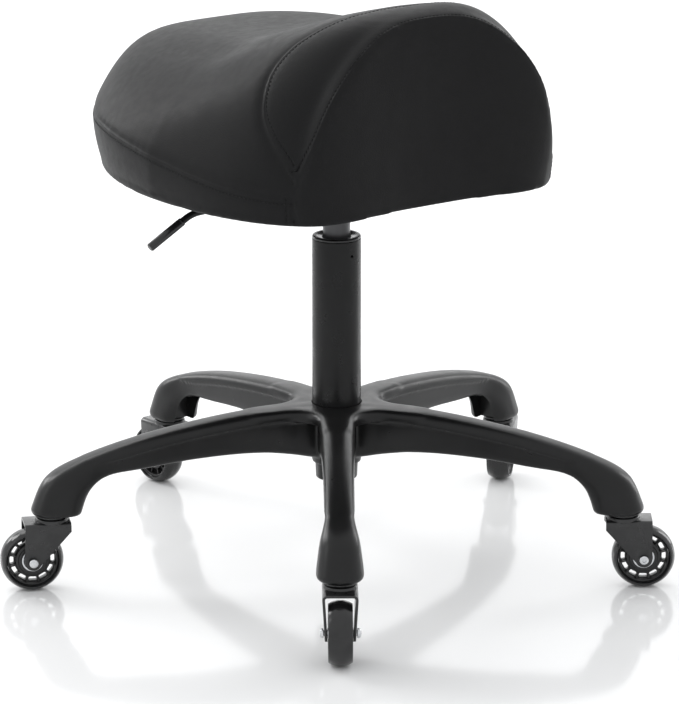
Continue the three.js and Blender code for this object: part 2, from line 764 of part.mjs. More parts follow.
// A smooth curve through points of rising x, flat where it turns.
function smoothThrough(points, x) {
  const slope = (k) => (points[k + 1][1] - points[k][1]) / (points[k + 1][0] - points[k][0]);
  const tangent = (k) => {
    if (k === 0 || k === points.length - 1) {
      return slope(Math.min(k, points.length - 2));
    }
    const [before, after] = [slope(k - 1), slope(k)];
    return before * after > 0 ? (2 * before * after) / (before + after) : 0;
  };
  const k = clamp(points.findIndex((point) => point[0] > x) - 1, 0, points.length - 2);
  const last = x >= points.at(-1)[0] ? points.length - 2 : k;
  const width = points[last + 1][0] - points[last][0];
  const t = clamp((x - points[last][0]) / width, 0, 1);
  const rise = t * t * (3 - 2 * t);
  const level = lerp(points[last][1], points[last + 1][1], rise);
  return level + width * (t * (1 - t) ** 2 * tangent(last) - t * t * (1 - t) * tangent(last + 1));
}

// Height of the seat's top over its lower edge, at x and at a distance in front of the widest line.
function topHeight(x, forward) {
  const share = forward > 0 ? forward / SEAT_FRONT : forward / SEAT_REAR;
  const rim = lerp(RIM_REAR_H, RIM_FRONT_H, smoothstep(share, -0.6, 0.9));
  const halfWidth = Math.max(seatHalfWidth(forward), forward > 0 ? ARCH_HALF_W : 1);
  const across = Math.min(1, Math.abs(x) / halfWidth);
  const power = lerp(CROWN_POWER, ARCH_POWER, smoothstep(share, 0.2, 0.95));
  return rim + (smoothThrough(RIDGE, clamp(share, -1, 1)) - rim) * (1 - across ** power);
}

function topPoint(angle, share) {
  const [edgeX, edgeY] = seatOutline(angle);
  const x = edgeX * share;
  const forward = (SEAT_MID - edgeY) * share;
  const height = topHeight(x, forward);
  const lean = forward > 0 ? (forward / SEAT_FRONT) * (height / PEAK_H) ** 3 * FRONT_LEAN : 0;
  return [x, SEAT_MID - forward + lean, SEAT_Z + height];
}

function ringOf(pointAt) {
  return Array.from({ length: SEAT_RING }, (_, i) => pointAt((2 * Math.PI * i) / SEAT_RING));
}

// How far the lower edge is drawn in at an angle from the front.
function tuckAt(angle) {
  return lerp(REAR_TUCK, FRONT_TUCK, smoothstep(Math.cos(angle), -0.7, 0.7));
}

function sideRing(share) {
  return ringOf((angle) => {
    const [topX, topY, topZ] = topPoint(angle, 1);
    const [lowX, lowY] = seatOutline(angle, tuckAt(angle));
    const draw = share ** 2;
    return [lerp(topX, lowX, draw), lerp(topY, lowY, draw), lerp(topZ, SEAT_Z, share)];
  });
}

// A level ring at a distance inside the lower edge.
function flatRing(inset, z, share = 1) {
  return ringOf((angle) => {
    const [x, y] = seatOutline(angle, tuckAt(angle) + inset);
    return [x * share, SEAT_MID + (y - SEAT_MID) * share, z];
  });
}

function seatCushion() {
  const ceiling = BOARD_TOP_Z + GAP;
  const rings = [
    [topPoint(0, 0)],
    ...[0.14, 0.3, 0.46, 0.62, 0.77, 0.9, 1].map((s) => ringOf((a) => topPoint(a, s))),
    ...[0.2, 0.5, 0.8].map(sideRing),
    flatRing(1, SEAT_Z),
    flatRing(EDGE_W, SEAT_Z),
    flatRing(EDGE_W, ceiling),
    flatRing(EDGE_W, ceiling, 0.5),
    [[0, SEAT_MID, ceiling]],
  ];
  return piece("seat_cushion", skin(rings), seatBlack());
}

function insideEdge() {
  return flatRing(EDGE_W + GAP, 0).map(([x, y]) => [x, y]);
}

function seatBoard() {
  const holes = boltHoles(PLATE_BOLT_R + GAP);
  return piece("seat_board", plate(insideEdge(), BOARD_Z, BOARD_T, holes), plywood());
}

function dustCover() {
  const holes = boltHoles(PLATE_BOLT_R + GAP);
  return piece("dust_cover", plate(insideEdge(), COVER_Z, COVER_T, holes), coverBlack());
}

// ---------------------------------------------------------------- casters
// A caster's own frame: the swivel axis is Z, the wheel trails along +X, and the axle lies along Y.

const WHEEL_SEGMENTS = 22;

// A ring about the axle; the profile is a list of [radius, y]. A flat of the ring faces the floor.
function aboutAxle(profile, segments, close) {
  const list = close ? [...profile, profile[0]] : profile;
  const points = list.map(([r, y]) => new THREE.Vector2(r, y));
  const geometry = new THREE.LatheGeometry(points, segments);
  geometry.rotateY(Math.PI / segments);
  return closed(geometry).translate(TRAIL, 0, WHEEL_R);
}

function casterStem(name) {
  const headTop = FORK_Z - GAP;
  return piece(name, turned([
    [0, headTop - RIVET_T],
    [RIVET_R, headTop - RIVET_T],
    [RIVET_R, headTop],
    [NECK_R, headTop],
    [NECK_R, COLLAR_Z],
    [COLLAR_R, COLLAR_Z],
    [COLLAR_R, COLLAR_Z + COLLAR_T],
    [STEM_R, COLLAR_Z + COLLAR_T],
    [STEM_R, FOOT_Z + STEM_DEPTH],
    [0, FOOT_Z + STEM_DEPTH],
  ], 14), brightSteel());
}

// Half-width of the fork's outside at a height: it narrows from the plate to the axle.
function forkHalfWidth(z) {
  return lerp(FORK_AXLE_W, FORK_TOP_W, (z - WHEEL_R) / (FORK_TOP_Z - WHEEL_R)) / 2;
}

// The fork seen along its travel: an upturned U of even thickness with round bends.
function forkSection() {
  const low = WHEEL_R - FORK_EYE_R - 1;
  const arc = (half, top, radius) => {
    const points = [[half(low), low]];
    for (let i = 0; i <= 2; i += 1) {
      const a = deg(45 * i);
      const corner = half(top - radius);
      points.push([corner - radius + radius * Math.cos(a), top - radius + radius * Math.sin(a)]);
    }
    return points;
  };
  const outer = arc(forkHalfWidth, FORK_TOP_Z, FORK_BEND_R);
  const inner = arc((z) => forkHalfWidth(z) - FORK_T, FORK_Z, FORK_BEND_R - FORK_T);
  const otherSide = (list) => list.map(([y, z]) => [-y, z]);
  return [...outer, ...otherSide(outer).reverse(), ...otherSide(inner), ...inner.reverse()];
}

function forkSide() {
  const points = [[-FORK_LEAD, FORK_TOP_Z + 1], [-FORK_LEAD, FORK_TOP_Z - 9]];
  for (let i = 0; i <= 4; i += 1) {
    const a = deg(205 + 39 * i);
    points.push([TRAIL + FORK_EYE_R * Math.cos(a), WHEEL_R + FORK_EYE_R * Math.sin(a)]);
  }
  points.push([FORK_TAIL, FORK_Z - 4], [FORK_TAIL, FORK_TOP_Z + 1]);
  return points;
}

// Extrudes an outline of [a, z] along the third axis, centred on the caster's middle plane.
function upright(outline, length, alongX) {
  const flat = plate(outline, -length / 2, length);
  flat.rotateX(Math.PI / 2);
  return alongX ? flat.rotateZ(Math.PI / 2) : flat;
}

function fork(name) {
  const reach = 4 * FORK_TAIL;
  const bent = toSolid(upright(forkSection(), reach, true));
  const side = toSolid(upright(forkSide(), reach, false));
  const race = turned([
    [0, FORK_Z + 1],
    [RACE_R, FORK_Z + 1],
    [RACE_R - 1, FORK_TOP_Z + RACE_H],
    [0, FORK_TOP_Z + RACE_H],
  ], 18);
  const neckHole = rod(NECK_R + RUN, FORK_Z - 5, COLLAR_Z + 5, 14);
  const axleHole = acrossY(AXLE_R + GAP, reach, 10).translate(TRAIL, 0, WHEEL_R);
  const solid = bent.intersect(side).add(toSolid(race)).subtract(toSolid(neckHole)).subtract(toSolid(axleHole));
  return piece(name, fromSolid(solid), glossBlack());
}

const AXLE_END = FORK_AXLE_W / 2 + 0.6 + GAP; // clears the cheek, which leans out above the axle

function axleBolt(name) {
  const face = -AXLE_END - BOLT_HEAD_T;
  const profile = [
    [0, face],
    [BOLT_HEAD_R - 0.7, face],
    [BOLT_HEAD_R, face + 0.7],
    [BOLT_HEAD_R, -AXLE_END],
    [AXLE_R, -AXLE_END],
    [AXLE_R, AXLE_END + NUT_T / 2],
    [0, AXLE_END + NUT_T / 2],
  ];
  const socket = acrossY(SOCKET_R, BOLT_HEAD_T, 6).translate(TRAIL, face, WHEEL_R);
  return piece(name, cut(aboutAxle(profile, 12, false), [socket]), brightSteel());
}

function axleNut(name) {
  const inner = AXLE_R + GAP;
  return piece(name, aboutAxle([
    [0, AXLE_END + NUT_T / 2 + GAP],
    [inner, AXLE_END + NUT_T / 2 + GAP],
    [inner, AXLE_END],
    [NUT_R, AXLE_END],
    [NUT_R, AXLE_END + NUT_T / 2],
    [NUT_R * 0.6, AXLE_END + NUT_T - 0.5],
    [0, AXLE_END + NUT_T],
  ], 12, false), brightSteel());
}

function wheelTyre(name) {
  const outside = WHEEL_R / Math.cos(Math.PI / WHEEL_SEGMENTS);
  const inside = (CORE_R + GAP) / Math.cos(Math.PI / WHEEL_SEGMENTS);
  const half = TREAD_W / 2;
  return piece(name, aboutAxle([
    [inside, -CORE_W / 2],
    [inside, CORE_W / 2],
    [lerp(inside, outside, 0.3), half],
    [outside - 1.4, half - 5.2],
    [outside, TREAD_FLAT / 2],
    [outside, -TREAD_FLAT / 2],
    [outside - 1.4, -half + 5.2],
    [lerp(inside, outside, 0.3), -half],
  ], WHEEL_SEGMENTS, true), treadBlack());
}

function wheelCore(name) {
  const slots = Array.from({ length: SLOT_COUNT }, (_, i) => {
    const a = (2 * Math.PI * i) / SLOT_COUNT;
    const corners = [[-1, -1], [1, -1], [1, 1], [-1, 1]];
    return corners.map(([u, v]) => {
      const r = SLOT_R + (v * SLOT_WIDE) / 2;
      const t = (u * SLOT_LONG) / 2;
      return [r * Math.cos(a) - t * Math.sin(a), r * Math.sin(a) + t * Math.cos(a)];
    });
  });
  const bore = circle(BEARING_R + GAP, 0, 0, 16);
  const ring = plate(circle(CORE_R, 0, 0, WHEEL_SEGMENTS), -CORE_W / 2, CORE_W, [bore, ...slots]);
  return piece(name, ring.rotateX(Math.PI / 2).translate(TRAIL, 0, WHEEL_R), coreBlack());
}

// Two ball bearings and the spacer between them.
function wheelBearings(name) {
  const half = FORK_AXLE_W / 2 - FORK_T - RUN;
  const inner = AXLE_R + RUN;
  const face = CORE_W / 2 + 0.4;
  return piece(name, aboutAxle([
    [inner, -half],
    [5.2, -half],
    [5.2, -face],
    [BEARING_R, -face],
    [BEARING_R, face],
    [5.2, face],
    [5.2, half],
    [inner, half],
  ], 16, true), brightSteel());
}

function caster(index) {
  const number = "_" + (index + 1);
  const armAngle = deg(BASE_YAW + (360 * index) / ARM_COUNT);
  const group = new THREE.Group();
  group.add(
    casterStem("caster_stem" + number),
    fork("fork" + number),
    axleBolt("axle_bolt" + number),
    axleNut("axle_nut" + number),
    wheelTyre("wheel_tyre" + number),
    wheelCore("wheel_core" + number),
    wheelBearings("wheel_bearings" + number),
  );
  group.position.set(STEM_CIRCLE_R * Math.cos(armAngle), STEM_CIRCLE_R * Math.sin(armAngle), 0);
  group.rotation.z = armAngle + deg(CASTER_TURN[index]);
  return group;
}

// ---------------------------------------------------------------- the stool

function stool() {
  const group = new THREE.Group();
  const star = starBase();
  star.rotation.z = deg(BASE_YAW);
  group.add(star, columnTube(), guideBush(), thrustBearing(), rodClip(), pistonRod());
  group.add(gasCylinder(), releaseButton(), coneSocket(), mountPlate(), leverPin(), leverRod(), leverSleeve());
  plateBolts.forEach((_, index) => group.add(plateBolt(index)));
  group.add(dustCover(), seatBoard(), seatCushion());
  for (let index = 0; index < ARM_COUNT; index += 1) {
    group.add(caster(index));
  }
  // The frame's origin is on the floor under the middle of the whole object.
  group.updateMatrixWorld(true);
  const centre = new THREE.Box3().setFromObject(group, true).getCenter(new THREE.Vector3());
  group.position.set(-centre.x, -centre.y, 0);
  return group;
}

export default stool();
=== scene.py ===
# %% [markdown]
# # The looks of a saddle stool
# The CAD model gives every part its size and place. This script adds what the eye sees: a padded
# artificial-leather seat with seams and stitches, a moulded nylon base, a painted column and clear-rimmed
# wheels. All lengths in the helpers are millimetres, and each piece is brought to metres as it is made.

# %% Load the CAD frame
import math
import bmesh
import bpy
import numpy as np
from mathutils import Matrix, Quaternion, Vector
from mathutils.bvhtree import BVHTree
from mathutils.kdtree import KDTree


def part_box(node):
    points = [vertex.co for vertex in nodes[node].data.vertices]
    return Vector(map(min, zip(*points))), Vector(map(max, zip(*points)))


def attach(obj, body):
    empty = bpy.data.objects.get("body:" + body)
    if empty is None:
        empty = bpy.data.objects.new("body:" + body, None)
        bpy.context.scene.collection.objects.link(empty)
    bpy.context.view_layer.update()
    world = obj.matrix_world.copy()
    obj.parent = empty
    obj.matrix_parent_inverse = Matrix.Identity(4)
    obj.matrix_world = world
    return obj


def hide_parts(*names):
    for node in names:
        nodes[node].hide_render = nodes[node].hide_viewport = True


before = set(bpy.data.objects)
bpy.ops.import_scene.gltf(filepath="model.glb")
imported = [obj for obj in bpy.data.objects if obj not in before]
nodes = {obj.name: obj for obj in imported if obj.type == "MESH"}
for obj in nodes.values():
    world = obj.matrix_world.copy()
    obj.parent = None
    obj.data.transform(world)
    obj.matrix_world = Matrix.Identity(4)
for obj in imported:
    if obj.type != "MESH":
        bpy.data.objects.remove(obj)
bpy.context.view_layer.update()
MM = 0.001

# %% [markdown]
# ## Places taken from the CAD
# The column's axis is the middle of the stool's turning parts, so most shapes are drawn around it.
# Levels come from the boxes of the CAD nodes, which keeps the looks and the mechanism together.

# %% Read the places
def middle(node):
    low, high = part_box(node)
    return (low + high) / 2


def levels(node):
    low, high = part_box(node)
    return low.z / MM, high.z / MM


COLUMN = middle("column_tube")
TUBE_LOW, TUBE_TOP = levels("column_tube")
HUB_TOP = levels("star_base")[1]
FOOT_LOW = levels("star_base")[0]
BUSH_LOW, BUSH_TOP = levels("guide_bush")
SOCKET_LOW, SOCKET_TOP = levels("cone_socket")
SEAT_LOW = levels("seat_cushion")[0]
BOARD_LOW, BOARD_TOP = levels("seat_board")
COVER_LOW, COVER_TOP = levels("dust_cover")
CYLINDER_LOW, CYLINDER_TOP = levels("gas_cylinder")
CASTERS = range(1, 6)
print("hub top", round(HUB_TOP, 1), "tube top", round(TUBE_TOP, 1), "seat", round(SEAT_LOW, 1))

# %% [markdown]
# ## Small tools for making meshes
# A turned part is a profile spun about an axis, a moulded part is a skin over rings, and holes are cut with
# solid tools. Real edges are never perfectly sharp, so every profile corner is rounded a little.

# %% Mesh tools
def lerp(a, b, t):
    return a + (b - a) * t


def smooth_step(x, start, end):
    t = np.clip((x - start) / (end - start), 0, 1)
    return t * t * (3 - 2 * t)


def make(name, points, faces, place=None):
    """A mesh object from points in millimetres, moved by place, which is a matrix in millimetres."""
    mesh = bpy.data.meshes.new(name)
    mesh.from_pydata([tuple(p) for p in points], [], faces)
    if place is not None:
        mesh.transform(place)
    mesh.transform(Matrix.Scale(MM, 4))
    mesh.update()
    piece = bpy.data.objects.new(name, mesh)
    bpy.context.scene.collection.objects.link(piece)
    face_out(piece)
    return piece


def face_out(piece):
    shape = bmesh.new()
    shape.from_mesh(piece.data)
    bmesh.ops.remove_doubles(shape, verts=shape.verts, dist=1e-6)
    bmesh.ops.recalc_face_normals(shape, faces=shape.faces)
    shape.to_mesh(piece.data)
    shape.free()


def settle(piece):
    """Makes the piece's modifiers permanent."""
    graph = bpy.context.evaluated_depsgraph_get()
    made = bpy.data.meshes.new_from_object(piece.evaluated_get(graph))
    piece.modifiers.clear()
    old = piece.data
    piece.data = made
    bpy.data.meshes.remove(old)
    return piece


def combine(piece, tool, operation):
    """Cuts, adds or keeps what two solids share, then removes the tool."""
    change = piece.modifiers.new("combine", "BOOLEAN")
    change.operation = operation
    change.solver = "MANIFOLD"
    change.object = tool
    settle(piece)
    bpy.data.objects.remove(tool)
    return piece


def merged(name, pieces):
    shape = bmesh.new()
    for piece in pieces:
        shape.from_mesh(piece.data)
        bpy.data.objects.remove(piece)
    mesh = bpy.data.meshes.new(name)
    shape.to_mesh(mesh)
    shape.free()
    whole = bpy.data.objects.new(name, mesh)
    bpy.context.scene.collection.objects.link(whole)
    return whole


def softened(profile, reach, closed):
    """The profile with each corner turned into a short curve."""
    points = [np.array(p, float) for p in profile]
    count = len(points)
    result = []
    for i, corner in enumerate(points):
        if not closed and i in (0, count - 1):
            result.append(corner)
            continue
        before, after = points[i - 1], points[(i + 1) % count]
        length_in, length_out = np.linalg.norm(before - corner), np.linalg.norm(after - corner)
        cut = min(reach, 0.45 * length_in, 0.45 * length_out)
        start = corner + (before - corner) / length_in * cut
        end = corner + (after - corner) / length_out * cut
        for t in (0, 0.33, 0.67, 1):
            result.append((1 - t) ** 2 * start + 2 * t * (1 - t) * corner + t * t * end)
    return result


def turned(name, profile, segments=96, rounding=0.6, closed=False, place=None):
    """A solid of revolution about Z; the profile is a list of (radius, height)."""
    outline = softened(profile, rounding, closed)
    points, rings = [], []
    for radius, height in outline:
        if radius < 1e-6:
            rings.append([len(points)] * segments)
            points.append((0, 0, height))
            continue
        rings.append([len(points) + i for i in range(segments)])
        for i in range(segments):
            angle = 2 * math.pi * i / segments
            points.append((radius * math.cos(angle), radius * math.sin(angle), height))
    if closed:
        rings.append(rings[0])
    return make(name, points, ring_faces(rings), place)


def ring_faces(rings):
    faces = []
    for low, high in zip(rings, rings[1:]):
        count = len(low)
        for i in range(count):
            j = (i + 1) % count
            corners = [low[i], low[j], high[j], high[i]]
            unique = list(dict.fromkeys(corners))
            if len(unique) > 2:
                faces.append(unique)
    return faces


def skinned(name, rings, place=None):
    """A closed skin over a stack of rings, with flat ends."""
    points, numbers = [], []
    for ring in rings:
        numbers.append([len(points) + i for i in range(len(ring))])
        points.extend(ring)
    faces = ring_faces(numbers)
    faces.append(numbers[0][::-1])
    faces.append(numbers[-1])
    return make(name, points, faces, place)


def prism(name, outline, low, high, place=None):
    """An upright solid with the given plan, a list of (x, y)."""
    return skinned(name, [[(x, y, low) for x, y in outline], [(x, y, high) for x, y in outline]], place)


def bevelled(piece, width, segments=2, angle=35):
    edge = piece.modifiers.new("edge", "BEVEL")
    edge.width = width * MM
    edge.segments = segments
    edge.limit_method = "ANGLE"
    edge.angle_limit = math.radians(angle)
    edge.use_clamp_overlap = True
    return piece


def shaded(piece, angle=40):
    """Smooth shading that keeps the hard edges."""
    piece.data.shade_smooth()
    sharp = bmesh.new()
    sharp.from_mesh(piece.data)
    limit = math.radians(angle)
    for edge in sharp.edges:
        edge.smooth = len(edge.link_faces) != 2 or edge.calc_face_angle(0) < limit
    sharp.to_mesh(piece.data)
    sharp.free()
    return piece


def dressed(piece, body, look, slot, *stands_for):
    """Gives a piece its material and its body, and hides the CAD nodes that it stands for."""
    piece.data.materials.clear()
    piece.data.materials.append(look)
    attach(piece, body)
    if stands_for:
        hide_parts(*stands_for)
    return piece


AT_COLUMN = Matrix.Translation((COLUMN.x / MM, COLUMN.y / MM, 0))
SEAT_SIDE = -2.5  # the stuffed cover sits a little to one side of the board
AT_SEAT = Matrix.Translation((SEAT_SIDE, 0, 0)) @ AT_COLUMN

# %% [markdown]
# ## Materials
# Each material is built from noise at the size of the real texture: leather grain is about a millimetre,
# moulding texture half of that, and paint has a slow ripple. Roughness changes slightly over the surface,
# as handling and dust leave it, and edges of the texture stand up by a few hundredths of a millimetre.

# %% Material tools
class Look:
    """One material and the nodes added to it."""

    def __init__(self, name, color, roughness, metallic=0.0):
        self.material = bpy.data.materials.new(name)
        self.material.use_nodes = True
        self.tree = self.material.node_tree
        self.shader = self.tree.nodes["Principled BSDF"]
        self.shader.inputs["Base Color"].default_value = (*color, 1)
        self.shader.inputs["Roughness"].default_value = roughness
        self.shader.inputs["Metallic"].default_value = metallic
        self.coordinates = self.tree.nodes.new("ShaderNodeTexCoord")
        self.height = None

    def set(self, socket, value):
        self.shader.inputs[socket].default_value = value

    def noise(self, size, detail=3.0, stretch=(1, 1, 1), distortion=0.0):
        """Noise whose features are about size millimetres across; stretch lengthens them along an axis."""
        mapping = self.tree.nodes.new("ShaderNodeMapping")
        mapping.inputs["Scale"].default_value = [1 / (size * MM * s) for s in stretch]
        self.tree.links.new(self.coordinates.outputs["Object"], mapping.inputs["Vector"])
        node = self.tree.nodes.new("ShaderNodeTexNoise")
        node.inputs["Scale"].default_value = 1.0
        node.inputs["Detail"].default_value = detail
        node.inputs["Distortion"].default_value = distortion
        self.tree.links.new(mapping.outputs["Vector"], node.inputs["Vector"])
        return node.outputs["Fac"]

    def cells(self, size, wobble=0.35):
        """Rounded pebbles about size millimetres across, with a little wobble in their edges."""
        mapping = self.tree.nodes.new("ShaderNodeMapping")
        mapping.inputs["Scale"].default_value = [1 / (size * MM)] * 3
        self.tree.links.new(self.coordinates.outputs["Object"], mapping.inputs["Vector"])
        shake = self.tree.nodes.new("ShaderNodeTexNoise")
        shake.inputs["Scale"].default_value = 0.8
        self.tree.links.new(mapping.outputs["Vector"], shake.inputs["Vector"])
        mix = self.tree.nodes.new("ShaderNodeMixRGB")
        mix.blend_type = "ADD"
        mix.inputs["Fac"].default_value = wobble
        self.tree.links.new(mapping.outputs["Vector"], mix.inputs["Color1"])
        self.tree.links.new(shake.outputs["Color"], mix.inputs["Color2"])
        node = self.tree.nodes.new("ShaderNodeTexVoronoi")
        node.feature = "SMOOTH_F1"
        node.inputs["Scale"].default_value = 1.0
        node.inputs["Smoothness"].default_value = 0.35
        self.tree.links.new(mix.outputs["Color"], node.inputs["Vector"])
        return node.outputs["Distance"]

    def between(self, signal, low, high):
        """The signal brought from 0.25 .. 0.75 to a range of its own."""
        node = self.tree.nodes.new("ShaderNodeMapRange")
        node.inputs["From Min"].default_value = 0.25
        node.inputs["From Max"].default_value = 0.75
        node.inputs["To Min"].default_value = low
        node.inputs["To Max"].default_value = high
        self.tree.links.new(signal, node.inputs["Value"])
        return node.outputs["Result"]

    def drive(self, socket, signal, low, high):
        self.tree.links.new(self.between(signal, low, high), self.shader.inputs[socket])

    def tint(self, signal, dark, light):
        """Colour that wanders between two shades with the signal."""
        node = self.tree.nodes.new("ShaderNodeMixRGB")
        node.inputs["Color1"].default_value = (*dark, 1)
        node.inputs["Color2"].default_value = (*light, 1)
        self.tree.links.new(self.between(signal, 0, 1), node.inputs["Fac"])
        self.tree.links.new(node.outputs["Color"], self.shader.inputs["Base Color"])

    def relief(self, signal, depth, strength=1.0):
        """Raises the surface by the signal; depth is in millimetres."""
        bump = self.tree.nodes.new("ShaderNodeBump")
        bump.inputs["Distance"].default_value = depth * MM
        bump.inputs["Strength"].default_value = strength
        self.tree.links.new(signal, bump.inputs["Height"])
        if self.height is not None:
            self.tree.links.new(self.height, bump.inputs["Normal"])
        self.height = bump.outputs["Normal"]
        self.tree.links.new(self.height, self.shader.inputs["Normal"])


# %% Make the materials
def grey(value, blue=1.04):
    return (value, value, value * blue)


def leather():
    look = Look("black_leather", grey(0.0085), 0.48)
    look.tint(look.noise(60, 4), grey(0.0075), grey(0.0095))
    look.drive("Roughness", look.noise(9, 4), 0.44, 0.53)
    look.relief(look.noise(34, 2, distortion=0.5), 0.3, 0.3)
    look.relief(look.noise(6, 4, distortion=0.4), 0.12, 0.35)
    look.relief(look.cells(1.25), -0.12, 0.7)
    look.set("Specular IOR Level", 0.12)
    return look.material


def nylon():
    look = Look("moulded_nylon", grey(0.006), 0.38)
    look.set("Specular IOR Level", 0.3)
    look.tint(look.noise(35, 3), grey(0.005), grey(0.008))
    look.drive("Roughness", look.noise(14, 4), 0.27, 0.36)
    look.relief(look.noise(30, 2), 0.3, 0.2)
    look.relief(look.noise(0.7, 2), 0.03, 0.6)
    return look.material


def powder_coat():
    look = Look("black_powder_coat", grey(0.006), 0.3)
    look.set("Specular IOR Level", 0.25)
    look.tint(look.noise(28, 3), grey(0.005), grey(0.008))
    look.drive("Roughness", look.noise(18, 4), 0.24, 0.36)
    look.relief(look.noise(1.6, 2), 0.05, 0.5)
    return look.material


def fork_paint():
    look = Look("fork_paint", grey(0.014), 0.28, 0.3)
    look.tint(look.noise(12, 3), grey(0.01), grey(0.02))
    look.drive("Roughness", look.noise(7, 4), 0.24, 0.38)
    look.relief(look.noise(1.1, 2), 0.03, 0.5)
    look.set("Coat Weight", 0.35)
    look.set("Coat Roughness", 0.12)
    return look.material


def gloss_plastic():
    look = Look("gloss_plastic", grey(0.008), 0.16)
    look.tint(look.noise(20, 3), grey(0.006), grey(0.011))
    look.drive("Roughness", look.noise(11, 4), 0.12, 0.24)
    look.relief(look.noise(9, 2), 0.06, 0.3)
    return look.material


def spring_grey():
    look = Look("spring_tube", grey(0.06), 0.32, 0.4)
    look.tint(look.noise(16, 3, (1, 1, 6)), grey(0.05), grey(0.075))
    look.drive("Roughness", look.noise(1.4, 3, (1, 1, 30)), 0.26, 0.38)
    look.relief(look.noise(0.5, 2, (1, 1, 40)), 0.01, 0.5)
    return look.material


def smoked_rubber():
    look = Look("smoked_polyurethane", grey(0.012), 0.12)
    look.tint(look.noise(9, 3), grey(0.008), grey(0.018))
    look.drive("Roughness", look.noise(5, 4), 0.1, 0.24)
    look.relief(look.noise(3, 3), 0.05, 0.3)
    look.set("Transmission Weight", 0.3)
    look.set("IOR", 1.5)
    return look.material


def core_nylon():
    look = Look("wheel_nylon", grey(0.008), 0.34)
    look.tint(look.noise(8, 3), grey(0.006), grey(0.011))
    look.drive("Roughness", look.noise(4, 3), 0.3, 0.42)
    look.relief(look.noise(0.6, 2), 0.02, 0.5)
    return look.material


def bright_steel():
    look = Look("bright_steel", (0.62, 0.63, 0.65), 0.14, 1.0)
    look.tint(look.noise(6, 3), (0.55, 0.56, 0.58), (0.68, 0.69, 0.7))
    look.drive("Roughness", look.noise(2, 4), 0.1, 0.22)
    look.relief(look.noise(0.8, 3), 0.008, 0.5)
    return look.material


def zinc_steel():
    look = Look("zinc_steel", (0.3, 0.31, 0.33), 0.34, 1.0)
    look.tint(look.noise(4, 4), (0.24, 0.25, 0.27), (0.36, 0.37, 0.39))
    look.drive("Roughness", look.noise(1.5, 4), 0.26, 0.44)
    look.relief(look.noise(0.5, 3), 0.012, 0.5)
    return look.material


def plywood():
    look = Look("birch_plywood", (0.45, 0.31, 0.18), 0.6)
    look.tint(look.noise(3, 5, (1, 12, 0.3), 0.8), (0.36, 0.24, 0.13), (0.55, 0.4, 0.25))
    look.drive("Roughness", look.noise(5, 3), 0.52, 0.7)
    look.relief(look.noise(0.6, 3, (1, 20, 1)), 0.06, 0.5)
    return look.material


def dust_cloth():
    look = Look("dust_cloth", grey(0.015), 0.85)
    look.tint(look.noise(2.2, 4), grey(0.010), grey(0.026))
    look.drive("Roughness", look.noise(6, 3), 0.78, 0.92)
    look.relief(look.cells(1.8, 0.1), 0.12, 0.8)
    return look.material


def thread():
    look = Look("sewing_thread", grey(0.004), 0.6)
    look.set("Specular IOR Level", 0.2)
    look.tint(look.noise(1.2, 2), grey(0.003), grey(0.007))
    look.drive("Roughness", look.noise(2, 2), 0.5, 0.66)
    look.relief(look.noise(0.25, 2), 0.05, 0.6)
    return look.material


LEATHER, NYLON, PAINT, FORK_PAINT = leather(), nylon(), powder_coat(), fork_paint()
GLOSS, SPRING, SMOKED, CORE = gloss_plastic(), spring_grey(), smoked_rubber(), core_nylon()
STEEL, ZINC, PLY, CLOTH, THREAD = bright_steel(), zinc_steel(), plywood(), dust_cloth(), thread()
print("materials", len([m for m in bpy.data.materials if m.use_nodes]))

# %% [markdown]
# ## The seat's form
# A saddle seat is a foam block glued to a plywood board. Its outline is narrow and slightly hollow in front,
# where the thighs pass, and round behind. The top rises from the rear to a hump in front. The same few
# numbers that shape the CAD cushion are used here, so that the padded cover fits its solid.

# %% Seat formula
HALF_W, MID, FRONT, REAR = 214, 17, 208, 254
RIDGE_AT = [-1, -0.93, -0.78, -0.1, lerp(-0.1, 0.73, 0.4), 0.73, 1]
RIDGE_HIGH = [58, 97, 125, 141, lerp(141, 194, 0.42), 194, 180]
RIM_FRONT, RIM_REAR = 28, 58
ARCH_W = 162
EDGE_W = 14
FRONT_POWER, REAR_POWER = 3.8, 2.27  # squareness of the outline


def outline_at(angle, inset=0.0):
    """The seat's widest outline at an angle from the front; inset moves it in."""
    angle = np.asarray(angle, float)
    front = np.cos(angle) > 0
    power = np.where(front, FRONT_POWER, REAR_POWER)
    radius = (np.abs(np.cos(angle)) ** power + np.abs(np.sin(angle)) ** power) ** (-1 / power)
    forward = (np.where(front, FRONT, REAR) - inset) * np.cos(angle) * radius
    across = (HALF_W - inset) * np.sin(angle) * radius
    share = np.clip(forward / FRONT, 0, 1)
    hollow = 25 * share**4 * np.clip(1 - (across / (0.75 * HALF_W)) ** 2, 0, 1)
    return across * (1 - 0.12 * share), MID - forward + hollow


def half_width(forward):
    front = forward > 0
    power = np.where(front, FRONT_POWER, REAR_POWER)
    share = np.minimum(1, np.abs(forward) / np.where(front, FRONT, REAR))
    return np.maximum(1, HALF_W * (1 - 0.12 * np.where(front, share, 0)) * (1 - share**power) ** (1 / power))


def ridge_height(share):
    """A smooth curve through the ridge's points, flat where it turns."""
    x, y = np.array(RIDGE_AT), np.array(RIDGE_HIGH, float)
    slope = np.diff(y) / np.diff(x)
    inner = np.where(slope[:-1] * slope[1:] > 0, 2 * slope[:-1] * slope[1:] / (slope[:-1] + slope[1:] + 1e-9), 0)
    tangent = np.concatenate([[slope[0]], inner, [slope[-1]]])
    share = np.clip(share, -1, 1)
    k = np.clip(np.searchsorted(x, share, side="right") - 1, 0, len(x) - 2)
    width = x[k + 1] - x[k]
    t = (share - x[k]) / width
    level = lerp(y[k], y[k + 1], t * t * (3 - 2 * t))
    return level + width * (t * (1 - t) ** 2 * tangent[k] - t * t * (1 - t) * tangent[k + 1])


